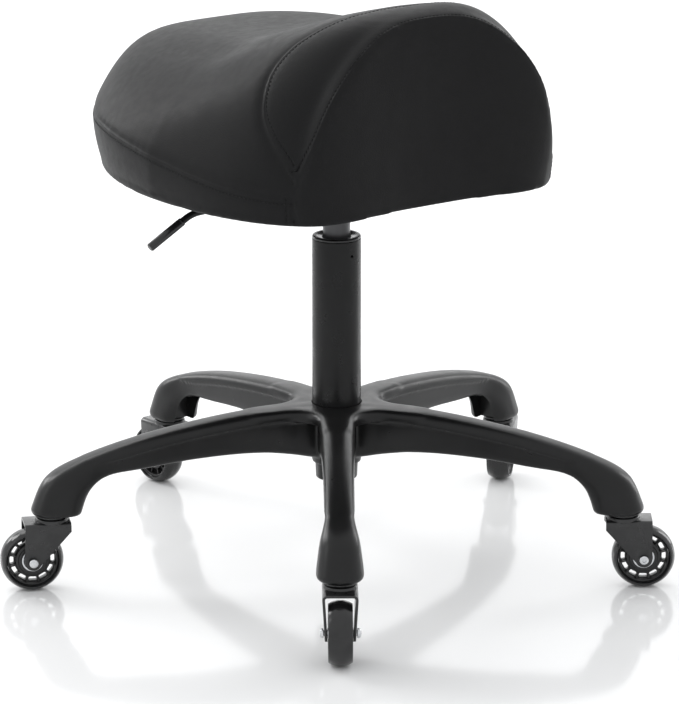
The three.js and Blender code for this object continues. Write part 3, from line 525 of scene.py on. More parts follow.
def top_height(x, forward):
    share = np.where(forward > 0, forward / FRONT, forward / REAR)
    rim = lerp(RIM_REAR, RIM_FRONT, smooth_step(share, -0.6, 0.9))
    side = np.maximum(half_width(forward), np.where(forward > 0, ARCH_W, 1))
    across = np.minimum(1, np.abs(x) / side)
    power = lerp(4.2, 3.0, smooth_step(share, 0.2, 0.95))
    return rim + (ridge_height(share) - rim) * (1 - across**power)


def filled_out(x, forward, height):
    """The stuffing pushes the hump's flanks out at half height and the lower edge draws them in."""
    near_front = smooth_step(forward, 60, 175) * smooth_step(np.abs(x), 40, 115)
    push = 6.5 * np.exp(-(((height - 118) / 52) ** 2)) - 6 * (1 - smooth_step(height, 5, 60))
    return x + np.sign(x) * push * near_front


def on_top(x, forward):
    height = top_height(x, forward)
    lean = np.where(forward > 0, forward / FRONT * (height / 194) ** 3 * 4, 0)
    return np.stack([filled_out(x, forward, height), MID - forward + lean, SEAT_LOW + height], -1)


def top_point(angle, share):
    edge_x, edge_y = outline_at(angle)
    return on_top(edge_x * share, (MID - edge_y) * share)


def side_point(angle, share):
    """On the band between the seam, share 0, and the lower edge, share 1."""
    high = top_point(angle, 1.0)
    tuck = lerp(10, 1, smooth_step(np.cos(angle), -0.7, 0.7))
    low_x, low_y = outline_at(angle, tuck)
    low_x = filled_out(low_x, MID - low_y, 0)
    draw = np.asarray(share) ** 2
    return np.stack([
        lerp(high[..., 0], low_x, draw),
        lerp(high[..., 1], low_y, draw),
        lerp(high[..., 2], SEAT_LOW, share) + 0 * draw,
    ], -1)


# %% [markdown]
# ## Where the cover is sewn
# The cover is cut from four kinds of panel: a rear top, a front hump, an arch-shaped front and a long side
# band. They meet in three seams. Beside each seam the allowance is folded under and held by a second row
# of stitches, which is what makes the thin raised rib along it.

# %% Seam lines
CORNER = math.radians(45.8)  # where the front panel meets the side band


def even(line, pitch):
    """The line with its points at an even pitch, in millimetres."""
    steps = np.linalg.norm(np.diff(line, axis=0), axis=1)
    length = np.concatenate([[0], np.cumsum(steps)])
    places = np.linspace(0, length[-1], max(2, int(round(length[-1] / pitch)) + 1))
    return np.stack([np.interp(places, length, line[:, k]) for k in range(3)], 1)


def curve_through(points, count):
    """A smooth curve through plan points, of even speed."""
    points = np.array(points, float)
    steps = np.linalg.norm(np.diff(points, axis=0), axis=1)
    length = np.concatenate([[0], np.cumsum(steps)])
    places = np.linspace(0, length[-1], count)
    result = np.zeros((count, 2))
    for k in range(2):
        slope = np.gradient(points[:, k], length)
        i = np.clip(np.searchsorted(length, places, side="right") - 1, 0, len(points) - 2)
        width = length[i + 1] - length[i]
        t = (places - length[i]) / width
        value = lerp(points[i, k], points[i + 1, k], t * t * (3 - 2 * t))
        bend = t * (1 - t) ** 2 * slope[i] - t * t * (1 - t) * slope[i + 1]
        result[:, k] = value + width * bend
    return result


half_cross = [(-159, 170), (-164, 148), (-160, 124), (-144, 112), (-121, 112), (-92, 121), (-50, 131), (0, 134)]
cross_plan = curve_through(half_cross + [(-x, y) for x, y in half_cross[-2::-1]], 600)


def cross_line(step_forward):
    """The seam between the rear top and the front hump, or a row of stitches in front of it."""
    tangent = np.gradient(cross_plan, axis=0)
    tangent /= np.linalg.norm(tangent, axis=1)[:, None]
    shifted = cross_plan + step_forward * np.stack([-tangent[:, 1], tangent[:, 0]], 1)
    return on_top(shifted[:, 0], shifted[:, 1])


band_angles = np.linspace(CORNER, 2 * math.pi - CORNER, 1400)
arch_angles = np.linspace(-CORNER, CORNER, 700)
corner_drop = np.linspace(0, 1, 60)
seams = {
    "band": top_point(band_angles, 1.0),
    "arch": top_point(arch_angles, 1.0),
    "cross": cross_line(0),
    "left_corner": side_point(np.full(60, -CORNER), corner_drop),
    "right_corner": side_point(np.full(60, CORNER), corner_drop),
}
rim_drop = 7 / np.maximum(1, top_point(band_angles, 1.0)[:, 2] - SEAT_LOW)
corner_step = math.radians(1.6)
stitch_rows = {
    "band": side_point(band_angles, rim_drop),
    "arch": top_point(arch_angles, 1 - 5.5 / 205),
    "cross": cross_line(5),
    "left_corner": side_point(np.full(60, -CORNER - corner_step), corner_drop),
    "right_corner": side_point(np.full(60, CORNER + corner_step), corner_drop),
}
seams = {name: even(line, 0.8) for name, line in seams.items()}
stitch_rows = {name: even(line, 0.8) for name, line in stitch_rows.items()}
print("seam lengths", {name: round(0.8 * len(line)) for name, line in seams.items()})

# %% [markdown]
# ## The stuffed cover
# The body starts a little slimmer than the finished seat. Cloth pressure then swells each panel between
# its seams, which are held down, as foam fills a sewn cover. How far a point may move is limited, so the
# firm foam keeps its shape.

# %% Seat body and cloth
def seat_body():
    """The seat as one closed skin, flat underneath."""
    count = 300
    angles = np.linspace(0, 2 * math.pi, count, endpoint=False)
    rings = [top_point(angles, share) for share in np.linspace(0.02, 1, 60)]
    rings += [side_point(angles, share) for share in np.linspace(0.08, 1, 16)]
    rings[-1][:, 2] -= 2.0  # smoothing takes this much off the lower edge
    for ring in rings:
        lift = 2.5 * np.clip(1 - (ring[:, 0] / 150) ** 2, 0, 1) * smooth_step(MID - ring[:, 1], 120, 165)
        ring[:, 2] += lift * np.clip(1 - (ring[:, 2] - SEAT_LOW) / 40, 0, 1)
    return skinned("seat_cover", rings, AT_SEAT)


def coordinates(mesh):
    flat = np.zeros(len(mesh.vertices) * 3, np.float32)
    mesh.vertices.foreach_get("co", flat)
    return flat.reshape(-1, 3).astype(float)


def place_points(mesh, points):
    mesh.vertices.foreach_set("co", points.astype(np.float32).ravel())
    mesh.update()


def normals(mesh):
    flat = np.zeros(len(mesh.vertices) * 3, np.float32)
    mesh.vertices.foreach_get("normal", flat)
    return flat.reshape(-1, 3).astype(float)


def row_place(line):
    """A line drawn about the column, in metres in the row frame."""
    return (line + np.array(AT_SEAT.translation)) * MM


def tree_of(lines):
    points = np.concatenate([row_place(line) for line in lines])
    tree = KDTree(len(points))
    for i, point in enumerate(points):
        tree.insert(point, i)
    tree.balance()
    return tree


def distance_to(tree, points, reach=0.03):
    """Distance in millimetres and number of the nearest point on the lines."""
    found = [tree.find(point) for point in points]
    return np.array([f[2] for f in found]) / MM, np.array([f[1] for f in found])


def remeshed(piece, size):
    change = piece.modifiers.new("even", "REMESH")
    change.mode = "VOXEL"
    change.voxel_size = size * MM
    settle(piece)
    return piece


def rounded_off(piece, times, factor=0.5):
    change = piece.modifiers.new("soft", "SMOOTH")
    change.iterations = times
    change.factor = factor
    return settle(piece)


seam_tree = tree_of(seams.values())
seat = remeshed(seat_body(), 3.9)
rounded_off(seat, 1)
points = coordinates(seat.data)
seam_distance, _ = distance_to(seam_tree, points)
under = points[:, 2] < (SEAT_LOW + 5) * MM
held = np.where(under, 1.0, np.clip(1 - (seam_distance - 3) / 7, 0, 1))
start = points - normals(seat.data) * MM * np.where(under, 0, 1.6)[:, None]


def evened(piece, values, rounds):
    """Each point's value averaged with its neighbours', again and again."""
    ends = np.zeros(2 * len(piece.data.edges), np.int32)
    piece.data.edges.foreach_get("vertices", ends)
    one, other = ends.reshape(-1, 2).T
    count = 1.0 + np.bincount(ends, minlength=len(values))
    for _ in range(rounds):
        near = np.bincount(one, values[other], len(values)) + np.bincount(other, values[one], len(values))
        values = (values + near) / count
    return values


def swell(piece, begin, hold):
    """Blows the cover up against its seams and returns how far each point moved."""
    place_points(piece.data, begin)
    group = piece.vertex_groups.new(name="held")
    for i, weight in enumerate(hold):
        group.add([i], float(weight), "REPLACE")
    cloth = piece.modifiers.new("stuffing", "CLOTH")
    cloth.settings.quality = 5
    cloth.settings.mass = 0.4
    cloth.settings.use_pressure = True
    cloth.settings.uniform_pressure_force = 4
    cloth.settings.tension_stiffness = 25
    cloth.settings.compression_stiffness = 20
    cloth.settings.bending_stiffness = 3
    cloth.settings.vertex_group_mass = "held"
    cloth.settings.effector_weights.gravity = 0
    cloth.point_cache.frame_start = 1
    cloth.point_cache.frame_end = 20
    scene = bpy.context.scene
    for number in range(1, 21):
        scene.frame_set(number)
    graph = bpy.context.evaluated_depsgraph_get()
    blown = coordinates(piece.evaluated_get(graph).to_mesh())
    piece.modifiers.clear()
    piece.vertex_groups.clear()
    scene.frame_set(1)
    return blown - begin


outward = normals(seat.data)
moved = (swell(seat, start, held) * outward).sum(1) / MM
rise = evened(seat, 2.4 * np.tanh(moved / 2.4), 14)
print("cloth moved", round(float(moved.max()), 1), "mm, kept", round(float(rise.max()), 1))
place_points(seat.data, start + outward * MM * (rise + 0.8 * (1 - held))[:, None])
rounded_off(seat, 1)
finer = seat.modifiers.new("finer", "SUBSURF")
finer.levels = 1
settle(seat)
print("seat points", len(seat.data.vertices))

# %% [markdown]
# ## Sewing the seams in
# Near each seam the mesh is made finer, and its points are pressed in along the seam and along the row of
# stitches. Between the two the folded allowance lifts the cover. Small puckers cross the seam where the
# thread pulls. Doing this after the stuffing keeps the lines crisp.

# %% Press in the seams
stitch_tree = tree_of(stitch_rows.values())


def finer_near(piece, reach, rounds):
    for _ in range(rounds):
        shape = bmesh.new()
        shape.from_mesh(piece.data)
        centres = [edge.verts[0].co + (edge.verts[1].co - edge.verts[0].co) / 2 for edge in shape.edges]
        near = []
        for edge, centre in zip(shape.edges, centres):
            if min(seam_tree.find(centre)[2], stitch_tree.find(centre)[2]) < reach * MM:
                near.append(edge)
        bmesh.ops.subdivide_edges(shape, edges=near, cuts=1, use_grid_fill=True, smooth=0.0)
        shape.to_mesh(piece.data)
        shape.free()
    return piece


finer_near(seat, 5.5, 1)
finer_near(seat, 4.5, 1)
points = coordinates(seat.data)
outward = normals(seat.data)
seam_distance, seam_number = distance_to(seam_tree, points)
stitch_distance, _ = distance_to(stitch_tree, points)
groove = -3.6 * np.exp(-((seam_distance / 0.85) ** 2)) - 0.9 * np.exp(-((seam_distance / 3.6) ** 2))
rib = 0.7 * np.exp(-(((seam_distance - 3.2) / 1.5) ** 2)) * np.exp(-(((stitch_distance - 3) / 2.0) ** 2))
row = -1.5 * np.exp(-((stitch_distance / 0.85) ** 2))
along = seam_number * 0.8
pucker = np.sin(along * 0.41 + 2.6 * np.sin(along * 0.061)) * (0.6 + 0.4 * np.sin(along * 0.023))
pucker *= 0.07 * np.exp(-((seam_distance / 8) ** 2)) * smooth_step(seam_distance, 0.4, 3)
above = smooth_step(points[:, 2] / MM, SEAT_LOW + 1, SEAT_LOW + 5)
place_points(seat.data, points + outward * MM * ((groove + rib + row + pucker) * above)[:, None])
print("seat points with seams", len(seat.data.vertices))

# %% [markdown]
# ## The board's recess
# The foam stands on a plywood board, and the cover is pulled round its edge. The recess for the board and
# the dust cover is cut last, so its edge stays clean and nothing overlaps the mechanism.

# %% Cut the recess
def edge_outline(inset, count=220):
    angles = np.linspace(0, 2 * math.pi, count, endpoint=False)
    tuck = lerp(15, 2, smooth_step(np.cos(angles), -0.7, 0.7))
    x, y = outline_at(angles, tuck + inset)
    return list(zip(x, y))


recess = prism("recess", edge_outline(EDGE_W), SEAT_LOW - 3, BOARD_TOP + 0.3, AT_COLUMN)
combine(seat, recess, "DIFFERENCE")
shaded(seat, 60)
dressed(seat, "seat", LEATHER, "seat_cover", "seat_cushion")

# %% [markdown]
# ## Stitches
# Each stitch is a short length of twisted thread that dips into the leather at both ends. They are laid
# along the rows at the pitch of a sewing machine, resting on the finished surface.

# %% Lay the stitches
surface = BVHTree.FromObject(seat, bpy.context.evaluated_depsgraph_get())


def stitches(name, rows, pitch=4.4, length=3.3, radius=0.42):
    points, faces = [], []
    shares = [(-0.5, -0.35, 0.45), (-0.3, 0.25, 1.0), (0, 0.34, 1.0), (0.3, 0.25, 1.0), (0.5, -0.35, 0.45)]
    sides = 6
    for line in rows:
        path = even(line, pitch)
        for here, ahead in zip(path, path[1:]):
            centre = row_place((here + ahead) / 2)
            spot, normal, _, far = surface.find_nearest(Vector(centre))
            if spot is None or far > 0.012 or spot.z < (SEAT_LOW + 2.5) * MM:
                continue
            run = Vector(ahead - here).normalized()
            side = normal.cross(run).normalized()
            run = side.cross(normal)
            rings = []
            for place, rise, width in shares:
                core = spot / MM + run * (place * length) + normal * rise
                rings.append([len(points) + k for k in range(sides)])
                for k in range(sides):
                    turn = 2 * math.pi * k / sides
                    reach = side * math.cos(turn) + normal * math.sin(turn) * 0.8
                    points.append(core + reach * radius * width)
            faces += ring_faces(rings) + [rings[0][::-1], rings[-1]]
    mesh = bpy.data.meshes.new(name)
    mesh.from_pydata([tuple(p * MM) for p in points], [], faces)
    mesh.update()
    piece = bpy.data.objects.new(name, mesh)
    bpy.context.scene.collection.objects.link(piece)
    piece.data.shade_smooth()
    return piece


stitching = stitches("seat_stitching", stitch_rows.values())
dressed(stitching, "seat", THREAD, "seat_cover")
print("stitch points", len(stitching.data.vertices))

# %% [markdown]
# ## Underside of the seat
# A thin black cloth is stapled over the board to keep dust out. It is drawn with the same fine outline as
# the recess, with holes where the plate's bolts pass.

# %% Dust cover and board
cover = prism("seat_dust_cover", edge_outline(EDGE_W + 0.3), COVER_LOW, COVER_TOP, AT_COLUMN)
for number in range(1, 5):
    low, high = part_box(f"plate_bolt_{number}")
    centre = (low + high) / 2 / MM
    hole = turned("hole", [(0, -5), (3.4, -5), (3.4, 5), (0, 5)], 32, 0.05,
                  place=Matrix.Translation((centre.x, centre.y, COVER_LOW)))
    combine(cover, hole, "DIFFERENCE")
dressed(shaded(cover, 30), "seat", CLOTH, "dust_cloth", "dust_cover")
nodes["seat_board"].data.materials.clear()
nodes["seat_board"].data.materials.append(PLY)

# %% [markdown]
# ## The five-arm base
# The base is one injection-moulded nylon part. Its arms are hollow underneath, its feet widen to hold the
# caster sockets, and generous fillets lead the load into the hub. Here the arms, hub and top web are laid
# over each other and remeshed as one skin, and smoothing that skin makes the fillets.

# %% Arm shapes
STEM_R = 304
TURN = math.radians(-124.8)
TOE, HEEL = STEM_R + 21, STEM_R - 30
ARM_TOP = [(18, HUB_TOP), (85, HUB_TOP - 1.3), (150, HUB_TOP - 8), (HEEL - 59, HUB_TOP - 19),
           (HEEL - 2, HUB_TOP - 34.5), (TOE - 16, FOOT_LOW + 36.5), (TOE, FOOT_LOW + 5)]
ARM_BOTTOM = [(18, HUB_TOP - 57), (80, HUB_TOP - 45.5), (146, HUB_TOP - 44.5), (HEEL - 66, HUB_TOP - 49.5),
              (HEEL - 28, HUB_TOP - 53), (HEEL - 9.5, FOOT_LOW + 25), (HEEL, FOOT_LOW + 5)]
ARM_WIDTH = [(0, 18.6), (1, 18), (2, 16.6), (3, 15.4), (4, 15.6), (5, 20), (6, 23.5)]


def spline_at(points, t):
    """A point on the uniform spline that goes through the given points."""
    place = min(t, 0.999999) * (len(points) - 1)
    i = int(place)
    w = place - i
    p = [np.array(points[min(max(k, 0), len(points) - 1)], float) for k in (i - 1, i, i + 1, i + 2)]
    v0, v1 = (p[2] - p[0]) / 2, (p[3] - p[1]) / 2
    return (2 * p[1] - 2 * p[2] + v0 + v1) * w**3 + (-3 * p[1] + 3 * p[2] - 2 * v0 - v1) * w**2 + v0 * w + p[1]


def arm_ring(low, high, half, roundness, shrink=0.0, count=44):
    """One ring across an arm: crowned above, flat-sided below and round at the foot."""
    reach = np.linalg.norm(high - low) / 2 - shrink
    up = (high - low) / np.linalg.norm(high - low)
    centre = (high + low) / 2
    ring = []
    for i in range(count):
        angle = 2 * math.pi * i / count
        s, c = math.sin(angle), math.cos(angle)
        power = lerp(3.3, 2.1, roundness) if s > 0 else lerp(6, 3.4, roundness)
        across = (half - shrink) * math.copysign(abs(c) ** (2 / power), c)
        rise = reach * math.copysign(abs(s) ** (2 / power), s)
        ring.append((centre[0] + up[0] * rise, across, centre[1] + up[1] * rise))
    return ring


def arm():
    rings = []
    for t in np.linspace(0, 1, 46):
        low, high = spline_at(ARM_BOTTOM, t), spline_at(ARM_TOP, t)
        roundness = float(smooth_step(t, 0.6, 0.95))
        rings.append(arm_ring(low, high, spline_at(ARM_WIDTH, t)[1], roundness))
    heel, toe = np.array([HEEL, FOOT_LOW]), np.array([TOE, FOOT_LOW])
    for part in (0.35, 0.7, 0.9, 1.0):
        drop = 5 * (1 - part)
        level = np.array([0, drop])
        rings.append(arm_ring(heel + level, toe + level, 23.5, 1, 3 * (1 - math.sqrt(1 - part**2))))
    return skinned("arm", rings)


def web():
    """The flat top that fills the corners between the arms, with round valleys and a rolled edge."""
    valley, fillet = 50.0, 27.6
    centre = valley + fillet
    tenth = math.pi / 5
    side = [(128, 9), (119, 12.6), (108, 15.2), (92, 16.8), (76, 17.7)]
    for k in range(9):
        angle = -math.pi / 2 - math.radians(54) * k / 8
        side.append((centre * math.cos(tenth) + fillet * math.cos(angle),
                     centre * math.sin(tenth) + fillet * math.sin(angle)))
    plan = []
    for k in range(5):
        turn = 2 * tenth * k
        points = [(x, -y) for x, y in side[::-1]] + side[:-1]
        for x, y in points:
            plan.append((x * math.cos(turn) - y * math.sin(turn), x * math.sin(turn) + y * math.cos(turn)))
    plan = np.array(plan)
    ahead, behind = np.roll(plan, -1, 0), np.roll(plan, 1, 0)
    tangent = (ahead - behind) / np.linalg.norm(ahead - behind, axis=1)[:, None]
    inward = np.stack([-tangent[:, 1], tangent[:, 0]], 1)

    def loop(inset, height):
        x, y = (plan + inward * inset).T
        distance = np.hypot(x, y)
        fall = 1.3 * (distance / 85) ** 2 + 4.6 * smooth_step(distance, 88, 128)
        return list(zip(x, y, height - fall))

    roll = [(0, 13), (0, 8.5), (0.5, 5.6), (1.8, 2.9), (4, 1.1), (7, 0.25), (11, 0)]
    return skinned("web", [loop(inset, HUB_TOP - drop) for inset, drop in roll])


def hub():
    return turned("hub", [
        (0, HUB_TOP - 64), (25.5, HUB_TOP - 64), (25.5, HUB_TOP - 52), (31, HUB_TOP - 47),
        (31, HUB_TOP - 13), (42, HUB_TOP - 9), (42, HUB_TOP - 1), (0, HUB_TOP - 0.3),
    ], 96, 2)


# %% Join, smooth and crease the base
solids = [hub(), web()]
for number in range(5):
    limb = arm()
    limb.data.transform(Matrix.Rotation(2 * math.pi * number / 5, 4, "Z"))
    solids.append(limb)
star = merged("star_base_shell", solids)
remeshed(star, 1.5)
rounded_off(star, 7)
print("base points", len(star.data.vertices))


def creased(points):
    """Pulls the arm's side walls in under the rolled top, as the mould does."""
    angle = np.arctan2(points[:, 1], points[:, 0])
    local = (angle + math.pi / 5) % (2 * math.pi / 5) - math.pi / 5
    radius = np.hypot(points[:, 0], points[:, 1])
    along, across = radius * np.cos(local), radius * np.sin(local)
    places = np.linspace(0, 1, 200)
    tops = np.array([spline_at(ARM_TOP, t) for t in places])
    bottoms = np.array([spline_at(ARM_BOTTOM, t) for t in places])
    middles = (tops + bottoms) / 2
    order = np.abs(along[:, None] - middles[None, :, 0]) + 0.6 * np.abs(points[:, 2][:, None] - middles[None, :, 1])
    nearest = np.argmin(order, axis=1)
    t = places[nearest]
    up = tops[nearest] - bottoms[nearest]
    height = np.linalg.norm(up, axis=1)
    up /= height[:, None]
    depth = ((tops[nearest] - np.stack([along, points[:, 2]], 1)) * up).sum(1)
    below = smooth_step(depth, 11.2, 13.4)
    strength = smooth_step(along, 34, 50) * (1 - smooth_step(t, 0.55, 0.86)) * smooth_step(np.abs(across), 6, 12)
    inset = 1.5 * below * strength * np.sign(across)
    across = across - inset
    back = np.hypot(along, across)
    turned_angle = np.arctan2(across, along) + (angle - local)
    return np.stack([back * np.cos(turned_angle), back * np.sin(turned_angle), points[:, 2]], 1)


place_points(star.data, creased(coordinates(star.data) / MM) * MM)
lighter = star.modifiers.new("lighter", "DECIMATE")
lighter.ratio = 0.35
settle(star)
print("base faces", len(star.data.polygons))


# %% [markdown]
# ## Hollows and bores in the base
# Seen from below, each arm is an open channel with two pockets and a rib between. The hub has a tapered
# bore that the column wedges into, with a small lead-in, and each foot has a socket for a caster stem.

# %% Cut the base
def pocket(start, end):
    rings = []
    for t in np.linspace(start, end, 8):
        low = spline_at(ARM_BOTTOM, t) - np.array([0, 8])
        high = spline_at(ARM_TOP, t) - np.array([0, 4])
        rings.append(arm_ring(low, high, spline_at(ARM_WIDTH, t)[1] - 5.2, 0, count=28))
    return skinned("pocket", rings)


def heel_recess():
    """The open end of the channel between the foot's two side walls."""
    outline = [(HEEL - 30, FOOT_LOW - 2), (HEEL - 30, FOOT_LOW + 22), (HEEL - 22, FOOT_LOW + 35),
               (HEEL - 8, FOOT_LOW + 39), (HEEL + 6, FOOT_LOW + 34), (HEEL + 13, FOOT_LOW + 24),
               (HEEL + 15, FOOT_LOW - 2)]
    half = 12.5
    return skinned("recess", [[(x, side * half, z) for x, z in outline] for side in (-1, 1)])


def tube_radius(z):
    return lerp(21.3, 25, min(1, (z - TUBE_LOW) / (HUB_TOP - TUBE_LOW)))


bore = turned("bore", [
    (0, HUB_TOP - 70), (tube_radius(HUB_TOP - 70) + 0.3, HUB_TOP - 70), (25.2, HUB_TOP - 1.4),
    (26.6, HUB_TOP + 0.4), (26.6, HUB_TOP + 3), (0, HUB_TOP + 3),
], 96, 0.2)
combine(star, bore, "DIFFERENCE")
for number in range(5):
    spin = Matrix.Rotation(2 * math.pi * number / 5, 4, "Z")
    for start, end in ((0.14, 0.38), (0.41, 0.66)):
        tool = pocket(start, end)
        tool.data.transform(spin)
        combine(star, tool, "DIFFERENCE")
    opening = heel_recess()
    opening.data.transform(spin)
    combine(star, opening, "DIFFERENCE")
    socket = turned("socket", [(0, -2), (7.3, -2), (5.8, 1), (5.8, 27), (0, 27)], 32, 0.2,
                    place=Matrix.Translation((STEM_R, 0, FOOT_LOW)))
    socket.data.transform(spin)
    combine(star, socket, "DIFFERENCE")
star.data.transform(Matrix.Translation((COLUMN.x, COLUMN.y, 0)) @ Matrix.Rotation(TURN, 4, "Z"))
dressed(shaded(star, 38), "base", NYLON, "base_nylon", "star_base")
print("base faces after cutting", len(star.data.polygons))

# %% [markdown]
# ## Column and gas spring
# The painted outer tube is pressed into the hub. A glossy plastic bush closes its top and guides the gas
# cylinder, which carries the seat. A small hole near the top of the tube lets a dent hold the bush.

# %% Turn the column
tube = turned("column_outer", [
    (5.4, TUBE_LOW), (20.3, TUBE_LOW), (21.3, TUBE_LOW + 1), (25, HUB_TOP), (25, TUBE_TOP),
    (23, TUBE_TOP), (23, HUB_TOP), (19.6, TUBE_LOW + 4), (5.4, TUBE_LOW + 4),
], 128, 0.5, True, AT_COLUMN)
hole_way = Vector((0.06, -1, 0)).normalized()
hole = turned("hole", [(0, 10), (1.6, 10), (1.6, 40), (0, 40)], 32, 0.1)
tilt = Vector((0, 0, 1)).rotation_difference(hole_way).to_matrix().to_4x4()
hole.data.transform(Matrix.Translation((COLUMN.x, COLUMN.y, (TUBE_TOP - 15) * MM)) @ tilt)
combine(tube, hole, "DIFFERENCE")
dressed(shaded(tube), "base", PAINT, "black_steel", "column_tube")

bush = turned("bush_ring", [
    (14.3, BUSH_LOW), (22.7, BUSH_LOW), (22.7, TUBE_TOP + 0.3), (25, TUBE_TOP + 0.3), (25, BUSH_TOP - 1),
    (24, BUSH_TOP), (20.8, BUSH_TOP), (15.3, BUSH_TOP - 1), (14.3, BUSH_TOP - 2.4),
], 128, 0.7, True, AT_COLUMN)
dressed(shaded(bush), "base", GLOSS, "gloss_plastic", "guide_bush")

BUTTON_DEPTH = 9
cylinder = turned("gas_cylinder_body", [
    (0, CYLINDER_TOP - BUTTON_DEPTH), (3.4, CYLINDER_TOP - BUTTON_DEPTH), (3.4, CYLINDER_TOP),
    (12.6, CYLINDER_TOP), (13.4, CYLINDER_TOP - 0.8), (14, SOCKET_LOW), (14, CYLINDER_LOW),
    (5.4, CYLINDER_LOW), (5.4, CYLINDER_LOW + 12), (11.8, CYLINDER_LOW + 12), (11.8, CYLINDER_TOP - 15),
    (0, CYLINDER_TOP - 15),
], 128, 0.4, False, AT_COLUMN)
dressed(shaded(cylinder), "seat", SPRING, "spring_tube", "gas_cylinder")

socket_ring = turned("seat_socket", [
    (14.4, SOCKET_LOW), (20, SOCKET_LOW), (22, SOCKET_LOW + 2), (22, SOCKET_TOP), (13.9, SOCKET_TOP),
], 96, 0.6, True, AT_COLUMN)
dressed(shaded(socket_ring), "seat", PAINT, "black_steel", "cone_socket")

for name, look in {"piston_rod": STEEL, "rod_clip": STEEL, "thrust_bearing": STEEL, "release_button": STEEL,
                   "lever_pin": STEEL, "mount_plate": PAINT}.items():
    nodes[name].data.materials.clear()
    nodes[name].data.materials.append(look)
    bevelled(nodes[name], 0.35, 2)
for number in range(1, 5):
    bolt = nodes[f"plate_bolt_{number}"]
    bolt.data.materials.clear()
    bolt.data.materials.append(STEEL)
    bevelled(bolt, 0.4, 2)
print("column pieces", tube.name, bush.name, cylinder.name, socket_ring.name)

# %% [markdown]
# ## Height lever
# The lever is a bent steel rod. Its flat inner end sits under the spring's button, so lifting the outer
# end presses the valve. A plastic sleeve on the tip makes it kind to the fingers.

# %% Make the lever
pin = middle("lever_pin") / MM
PIVOT = Vector((COLUMN.x / MM - 30, COLUMN.y / MM, levels("lever_pin")[0] / 2 + levels("lever_pin")[1] / 2))
BEND = Vector((COLUMN.x / MM - 176, PIVOT.y, PIVOT.z - 6.5))
TIP = Vector((COLUMN.x / MM - 226, PIVOT.y, PIVOT.z - 34))
GRIP = 44


def swept(name, path, radius, sides=24):
    """A round bar along a path that stays in the X-Z plane."""
    rings = []
    path = [Vector(p) for p in path]
    for i, spot in enumerate(path):
        run = (path[min(i + 1, len(path) - 1)] - path[max(i - 1, 0)]).normalized()
        side = Vector((0, 1, 0))
        other = run.cross(side)
        size = radius[i] if isinstance(radius, list) else radius
        rings.append([spot + (side * math.cos(a) + other * math.sin(a)) * size
                      for a in np.linspace(0, 2 * math.pi, sides, endpoint=False)])
    return skinned(name, rings)


down = (TIP - BEND).normalized()
level = (PIVOT - BEND).normalized()
before, after = BEND + level * 9, BEND + down * 9
bend_path = [before * (1 - t) ** 2 + BEND * 2 * t * (1 - t) + after * t * t for t in np.linspace(0, 1, 14)]
rod_path = [PIVOT + Vector((-3, 0, 0))] + bend_path + [TIP - down * 8.8]
bar = swept("lever_bar", rod_path, 3.5)


def across_y(name, radius, length, centre, rounding=0.5):
    stand = Matrix.Translation(centre) @ Matrix.Rotation(math.pi / 2, 4, "X")
    half = length / 2
    return turned(name, [(0, -half), (radius, -half), (radius, half), (0, half)], 64, rounding, place=stand)


def block(name, low, high):
    return prism(name, [(low[0], low[1]), (high[0], low[1]), (high[0], high[1]), (low[0], high[1])], low[2], high[2])


tongue_z = PIVOT.z - 1.7
tongue = block("tongue", (PIVOT.x, PIVOT.y - 4.5, tongue_z + 1), (COLUMN.x / MM + 4, PIVOT.y + 4.5, tongue_z + 3.4))
combine(bar, across_y("boss", 6.2, 43.6, PIVOT), "UNION")
combine(bar, tongue, "UNION")
combine(bar, across_y("nose", 2.4, 9, Vector((COLUMN.x / MM, PIVOT.y, tongue_z + 2.4)), 0.2), "UNION")
combine(bar, across_y("eye", 3.4, 70, PIVOT, 0.1), "DIFFERENCE")
dressed(shaded(bevelled(bar, 0.3), 40), "lever", PAINT, "black_steel", "lever_rod")

lean = Vector((0, 0, 1)).rotation_difference(down).to_matrix().to_4x4()
sleeve = turned("lever_grip", [
    (0, 35.5), (3.8, 35.5), (3.8, 0), (4.1, 0), (4.4, 0.5), (4.4, 2.2), (4.1, 2.7), (4.4, 3.2),
    (4.4, GRIP - 1), (3.4, GRIP), (0, GRIP),
], 64, 0.5, False, Matrix.Translation(TIP - down * GRIP) @ lean)
dressed(shaded(sleeve), "lever", GLOSS, "gloss_plastic", "lever_sleeve")
print("lever tip", [round(v, 1) for v in TIP])

# %% [markdown]
# ## Casters
# Each caster is a folded steel fork that swivels on its stem and trails the wheel behind it, so the wheel
# always turns to follow. One caster is drawn in a frame of its own, with the swivel axis at the origin and
# the wheel along X, and then placed five times by the directions that the CAD nodes give.

# %% Caster shapes
WHEEL, TRAIL = 32, 21
FORK_LOW, FORK_TOP = 70, 72.5


def fork_half(z):
    return lerp(30.8, 35.6, (z - WHEEL) / (FORK_TOP - WHEEL)) / 2


def folded_section():
    """The fork seen along its travel: an upturned U with round bends, as (y, z)."""
    low = 21

    def arc(half, top, radius):
        points = [(half(low), low)]
        for i in range(9):
            angle = math.pi / 2 * i / 8
            corner = half(top - radius)
            points.append((corner - radius + radius * math.cos(angle), top - radius + radius * math.sin(angle)))
        return points

    outer = arc(fork_half, FORK_TOP, 5)
    inner = arc(lambda z: fork_half(z) - 2.5, FORK_LOW, 2.5)
    flipped = [(-y, z) for y, z in outer[::-1]]
    return outer + flipped + [(-y, z) for y, z in inner] + inner[::-1]


def along_x(name, section, start, end):
    return skinned(name, [[(start, y, z) for y, z in section], [(end, y, z) for y, z in section]])


def along_y(name, outline, half):
    return skinned(name, [[(x, -half, z) for x, z in outline], [(x, half, z) for x, z in outline]])


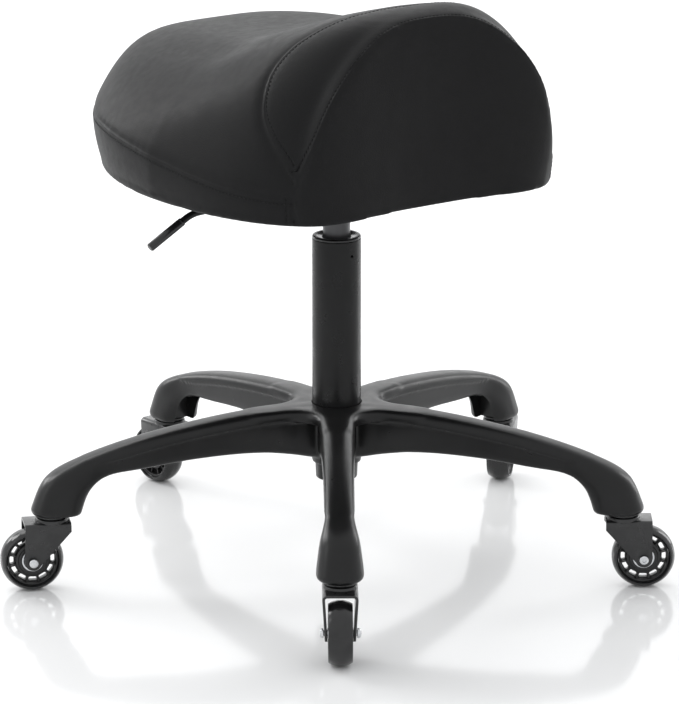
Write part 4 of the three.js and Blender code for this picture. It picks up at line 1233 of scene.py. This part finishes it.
def fork_side():
    points = [(-18, FORK_TOP + 1), (-18, FORK_TOP - 9)]
    for i in range(13):
        angle = math.radians(205 + 156 * i / 12)
        points.append((TRAIL + 8.5 * math.cos(angle), WHEEL + 8.5 * math.sin(angle)))
    return points + [(29, FORK_LOW - 4), (29, FORK_TOP + 1)]


def about_axle(name, profile, segments=96, rounding=0.4, closed=True):
    """A ring about the axle; the profile is a list of (radius, y)."""
    stand = Matrix.Translation((TRAIL, 0, WHEEL)) @ Matrix.Rotation(-math.pi / 2, 4, "X")
    return turned(name, profile, segments, rounding, closed, stand)


def fork():
    sheet = along_x("fork", folded_section(), -60, 60)
    combine(sheet, along_y("side", fork_side(), 60), "INTERSECT")
    race = turned("race", [(0, 70.4), (17, 70.4), (17, 72.6), (16.4, 75.1), (14.6, 75.5), (0, 75.5)], 96, 0.9)
    combine(sheet, race, "UNION")
    combine(sheet, turned("neck", [(0, 60), (5.4, 60), (5.4, 90), (0, 90)], 48, 0.1), "DIFFERENCE")
    axle = about_axle("axle", [(0, -60), (3.3, -60), (3.3, 60), (0, 60)], 48, 0.1, False)
    combine(sheet, axle, "DIFFERENCE")
    bevelled(sheet, 0.45, 3, 30)
    return settle(sheet)


def tyre():
    half = 12
    return about_axle("tyre", [
        (25.8, -8.5), (25.8, 8.5), (26.6, 9.4), (26.9, half - 0.2), (28.4, half), (29.2, half - 1.3),
        (30.4, half - 3.4), (31.5, half - 6.5), (32, 3), (32, -3), (31.5, -half + 6.5), (30.4, -half + 3.4),
        (29.2, -half + 1.3), (28.4, -half), (26.9, -half + 0.2), (26.6, -9.4),
    ], 120, 0.8)


def core():
    """A nylon hub and rim joined by a thin web with twelve slots, and a rib between each two."""
    disc = about_axle("core", [
        (11.3, -8.5), (14.2, -8.5), (14.8, -7.2), (17.2, -6.9), (17.8, -2.2), (23.7, -2.2), (24.1, -8.2),
        (25.5, -8.4), (25.5, 8.4), (24.1, 8.2), (23.7, 2.2), (17.8, 2.2), (17.2, 6.9), (14.8, 7.2),
        (14.2, 8.5), (11.3, 8.5),
    ], 120, 0.35)
    place = Matrix.Translation((TRAIL, 0, WHEEL)) @ Matrix.Rotation(-math.pi / 2, 4, "X")
    for i in range(12):
        turn = Matrix.Rotation(2 * math.pi * i / 12, 4, "Z")
        plan = []
        for k in range(24):
            angle = 2 * math.pi * k / 24
            shift = 2.5 if math.cos(angle) > 0 else -2.5
            plan.append((20.8 + 2.1 * math.sin(angle), shift + 1.7 * math.cos(angle)))
        combine(disc, prism("slot", plan[::-1], -20, 20, place @ turn), "DIFFERENCE")
        rib = [(16.8, -0.7), (24.4, -0.7), (24.4, 0.7), (16.8, 0.7)]
        half_turn = Matrix.Rotation(2 * math.pi * (i + 0.5) / 12, 4, "Z")
        combine(disc, prism("rib", rib, -5.5, 5.5, place @ half_turn), "UNION")
    bevelled(disc, 0.25, 2, 45)
    return settle(disc)


def bearings():
    return about_axle("bearings", [
        (3.4, -12.5), (5.2, -12.5), (5.2, -8.9), (6.2, -8.9), (6.6, -8.6), (8.8, -8.6), (9.2, -8.9), (11, -8.9),
        (11, 8.9), (9.2, 8.9), (8.8, 8.6), (6.6, 8.6), (6.2, 8.9), (5.2, 8.9), (5.2, 12.5), (3.4, 12.5),
    ], 72, 0.25)


AXLE_END = 16.3


def axle_bolt():
    face = -AXLE_END - 3.2
    bolt = about_axle("bolt", [(0, face), (3.7, face), (4.7, face + 1), (4.7, -AXLE_END), (3, -AXLE_END),
                               (3, AXLE_END + 2.1), (0, AXLE_END + 2.1)], 60, 0.3, False)
    plan = [(2.4 * math.cos(math.pi / 3 * k), 2.4 * math.sin(math.pi / 3 * k)) for k in range(6)]
    place = Matrix.Translation((TRAIL, 0, WHEEL)) @ Matrix.Rotation(-math.pi / 2, 4, "X")
    combine(bolt, prism("key", plan, face - 2, face + 1.9, place), "DIFFERENCE")
    return bolt


def axle_nut():
    start = AXLE_END
    return about_axle("nut", [(0, start + 2.4), (3.3, start + 2.4), (3.3, start), (5, start), (5, start + 1.6),
                              (4.5, start + 2.9), (3.2, start + 3.9), (0, start + 4.2)], 60, 0.5, False)


def stem():
    collar = FORK_TOP + 3.4
    return turned("stem", [
        (0, 67.3), (5, 67.3), (7.6, 68), (8, 69.7), (5, 69.7), (5, collar), (15, collar), (16.5, collar + 0.7),
        (16.5, collar + 2.6), (5.5, collar + 2.6), (5.5, FOOT_LOW + 25), (4.7, FOOT_LOW + 26), (0, FOOT_LOW + 26),
    ], 72, 0.4)


# %% Place the casters
def copy_of(source, name, place):
    piece = bpy.data.objects.new(name, source.data.copy())
    piece.data.name = name
    piece.data.transform(place)
    bpy.context.scene.collection.objects.link(piece)
    return piece


patterns = {
    "fork": (shaded(fork(), 35), "caster", FORK_PAINT, "fork_black"),
    "wheel_tyre": (shaded(tyre(), 50), "wheel", SMOKED, "tread"),
    "wheel_core": (shaded(core(), 35), "wheel", CORE, "wheel_core"),
    "wheel_bearings": (shaded(bearings(), 40), "wheel", STEEL, "bright_steel"),
    "axle_bolt": (shaded(axle_bolt(), 35), "caster", STEEL, "bright_steel"),
    "axle_nut": (shaded(axle_nut(), 50), "caster", STEEL, "bright_steel"),
    "caster_stem": (shaded(stem(), 40), "base", GLOSS, "zinc_steel"),
}
for number in CASTERS:
    swivel, axle = middle(f"caster_stem_{number}"), middle(f"wheel_tyre_{number}")
    heading = math.atan2(axle.y - swivel.y, axle.x - swivel.x)
    place = Matrix.Translation((swivel.x, swivel.y, 0)) @ Matrix.Rotation(heading, 4, "Z")
    for part, (source, body, look, slot) in patterns.items():
        piece = copy_of(source, f"{part}_look_{number}", place)
        rides_on = body if body == "base" else f"{body}_{number}"
        dressed(piece, rides_on, look, slot, f"{part}_{number}")
for source, *_ in patterns.values():
    bpy.data.objects.remove(source)
print("casters placed", len(CASTERS))

# %% [markdown]
# ## Studio
# A pale floor that curves up behind the stool, one large soft light above, and weaker ones at the sides.
# Black things show their form only by what they reflect, so the lights are wide and near.

# %% Floor, lights and camera
YAW = math.radians(35.436)
CAMERA_AWAY, CAMERA_HIGH, PITCH = 4.2982, 1.4592, math.radians(16.08)


def studio_floor():
    """A sweep: flat under the stool, then curving up into a wall."""
    profile = [(-4.0, 0.0), (2.2, 0.0)]
    for k in range(1, 17):
        angle = math.pi / 2 * k / 16
        profile.append((2.2 + 1.6 * math.sin(angle), 1.6 - 1.6 * math.cos(angle)))
    profile.append((3.8, 5.0))
    points, faces = [], []
    for x in (-5.0, 5.0):
        points += [(x / MM, y / MM, z / MM) for y, z in profile]
    count = len(profile)
    for k in range(count - 1):
        faces.append((k, k + 1, count + k + 1, count + k))
    floor = make("studio_floor", points, faces)
    floor.data.transform(Matrix.Translation((COLUMN.x, COLUMN.y, 0)) @ Matrix.Rotation(-YAW, 4, "Z"))
    floor.data.shade_smooth()
    look = Look("floor_white", (0.9, 0.9, 0.9), 0.1)
    look.tint(look.noise(700, 2), (0.89, 0.89, 0.89), (0.91, 0.91, 0.91))
    look.set("Specular IOR Level", 0.5)
    floor.data.materials.append(look.material)
    return floor


studio_floor()


def soft_light(name, at, size, power, aim=(0, 0, 0.35)):
    """A square soft light; at is (right, away, up) in metres as the camera sees it."""
    lamp = bpy.data.lights.new(name, "AREA")
    lamp.shape = "RECTANGLE"
    lamp.size, lamp.size_y = size
    lamp.energy = power
    holder = bpy.data.objects.new(name, lamp)
    bpy.context.scene.collection.objects.link(holder)
    turn = Matrix.Rotation(-YAW, 3, "Z")
    spot = turn @ Vector(at) + Vector((COLUMN.x, COLUMN.y, 0))
    target = turn @ Vector(aim) + Vector((COLUMN.x, COLUMN.y, 0))
    holder.location = spot
    holder.rotation_euler = (target - spot).to_track_quat("-Z", "Y").to_euler()
    return holder


soft_light("above", (-0.7, 1.9, 2.5), (2.2, 1.4), 24)
soft_light("behind", (0, 3.2, 1.3), (4.6, 1.8), 14)
soft_light("left_high", (-2.1, 1.1, 1.9), (0.9, 0.9), 16)
soft_light("left", (-2.4, -0.4, 1.2), (0.6, 1.6), 5)
soft_light("left_far", (-2.4, 2.0, 1.1), (1.0, 0.8), 14)
soft_light("right", (1.9, 1.5, 0.9), (0.5, 1.5), 11)

world = bpy.data.worlds.new("studio")
world.use_nodes = True
world.node_tree.nodes["Background"].inputs["Color"].default_value = (0.98, 0.99, 1.0, 1)
world.node_tree.nodes["Background"].inputs["Strength"].default_value = 1.0
bpy.context.scene.world = world
bpy.context.scene.view_settings.view_transform = "Standard"

lens = bpy.data.cameras.new("camera")
lens.sensor_width = 36
lens.sensor_fit = "AUTO"
lens.lens = 223.55
camera = bpy.data.objects.new("camera", lens)
bpy.context.scene.collection.objects.link(camera)
camera.location = (COLUMN.x - CAMERA_AWAY * math.sin(YAW), COLUMN.y - CAMERA_AWAY * math.cos(YAW), CAMERA_HIGH)
camera.rotation_euler = (math.pi / 2 - PITCH, 0, -YAW - math.radians(0.04))
bpy.context.scene.camera = camera
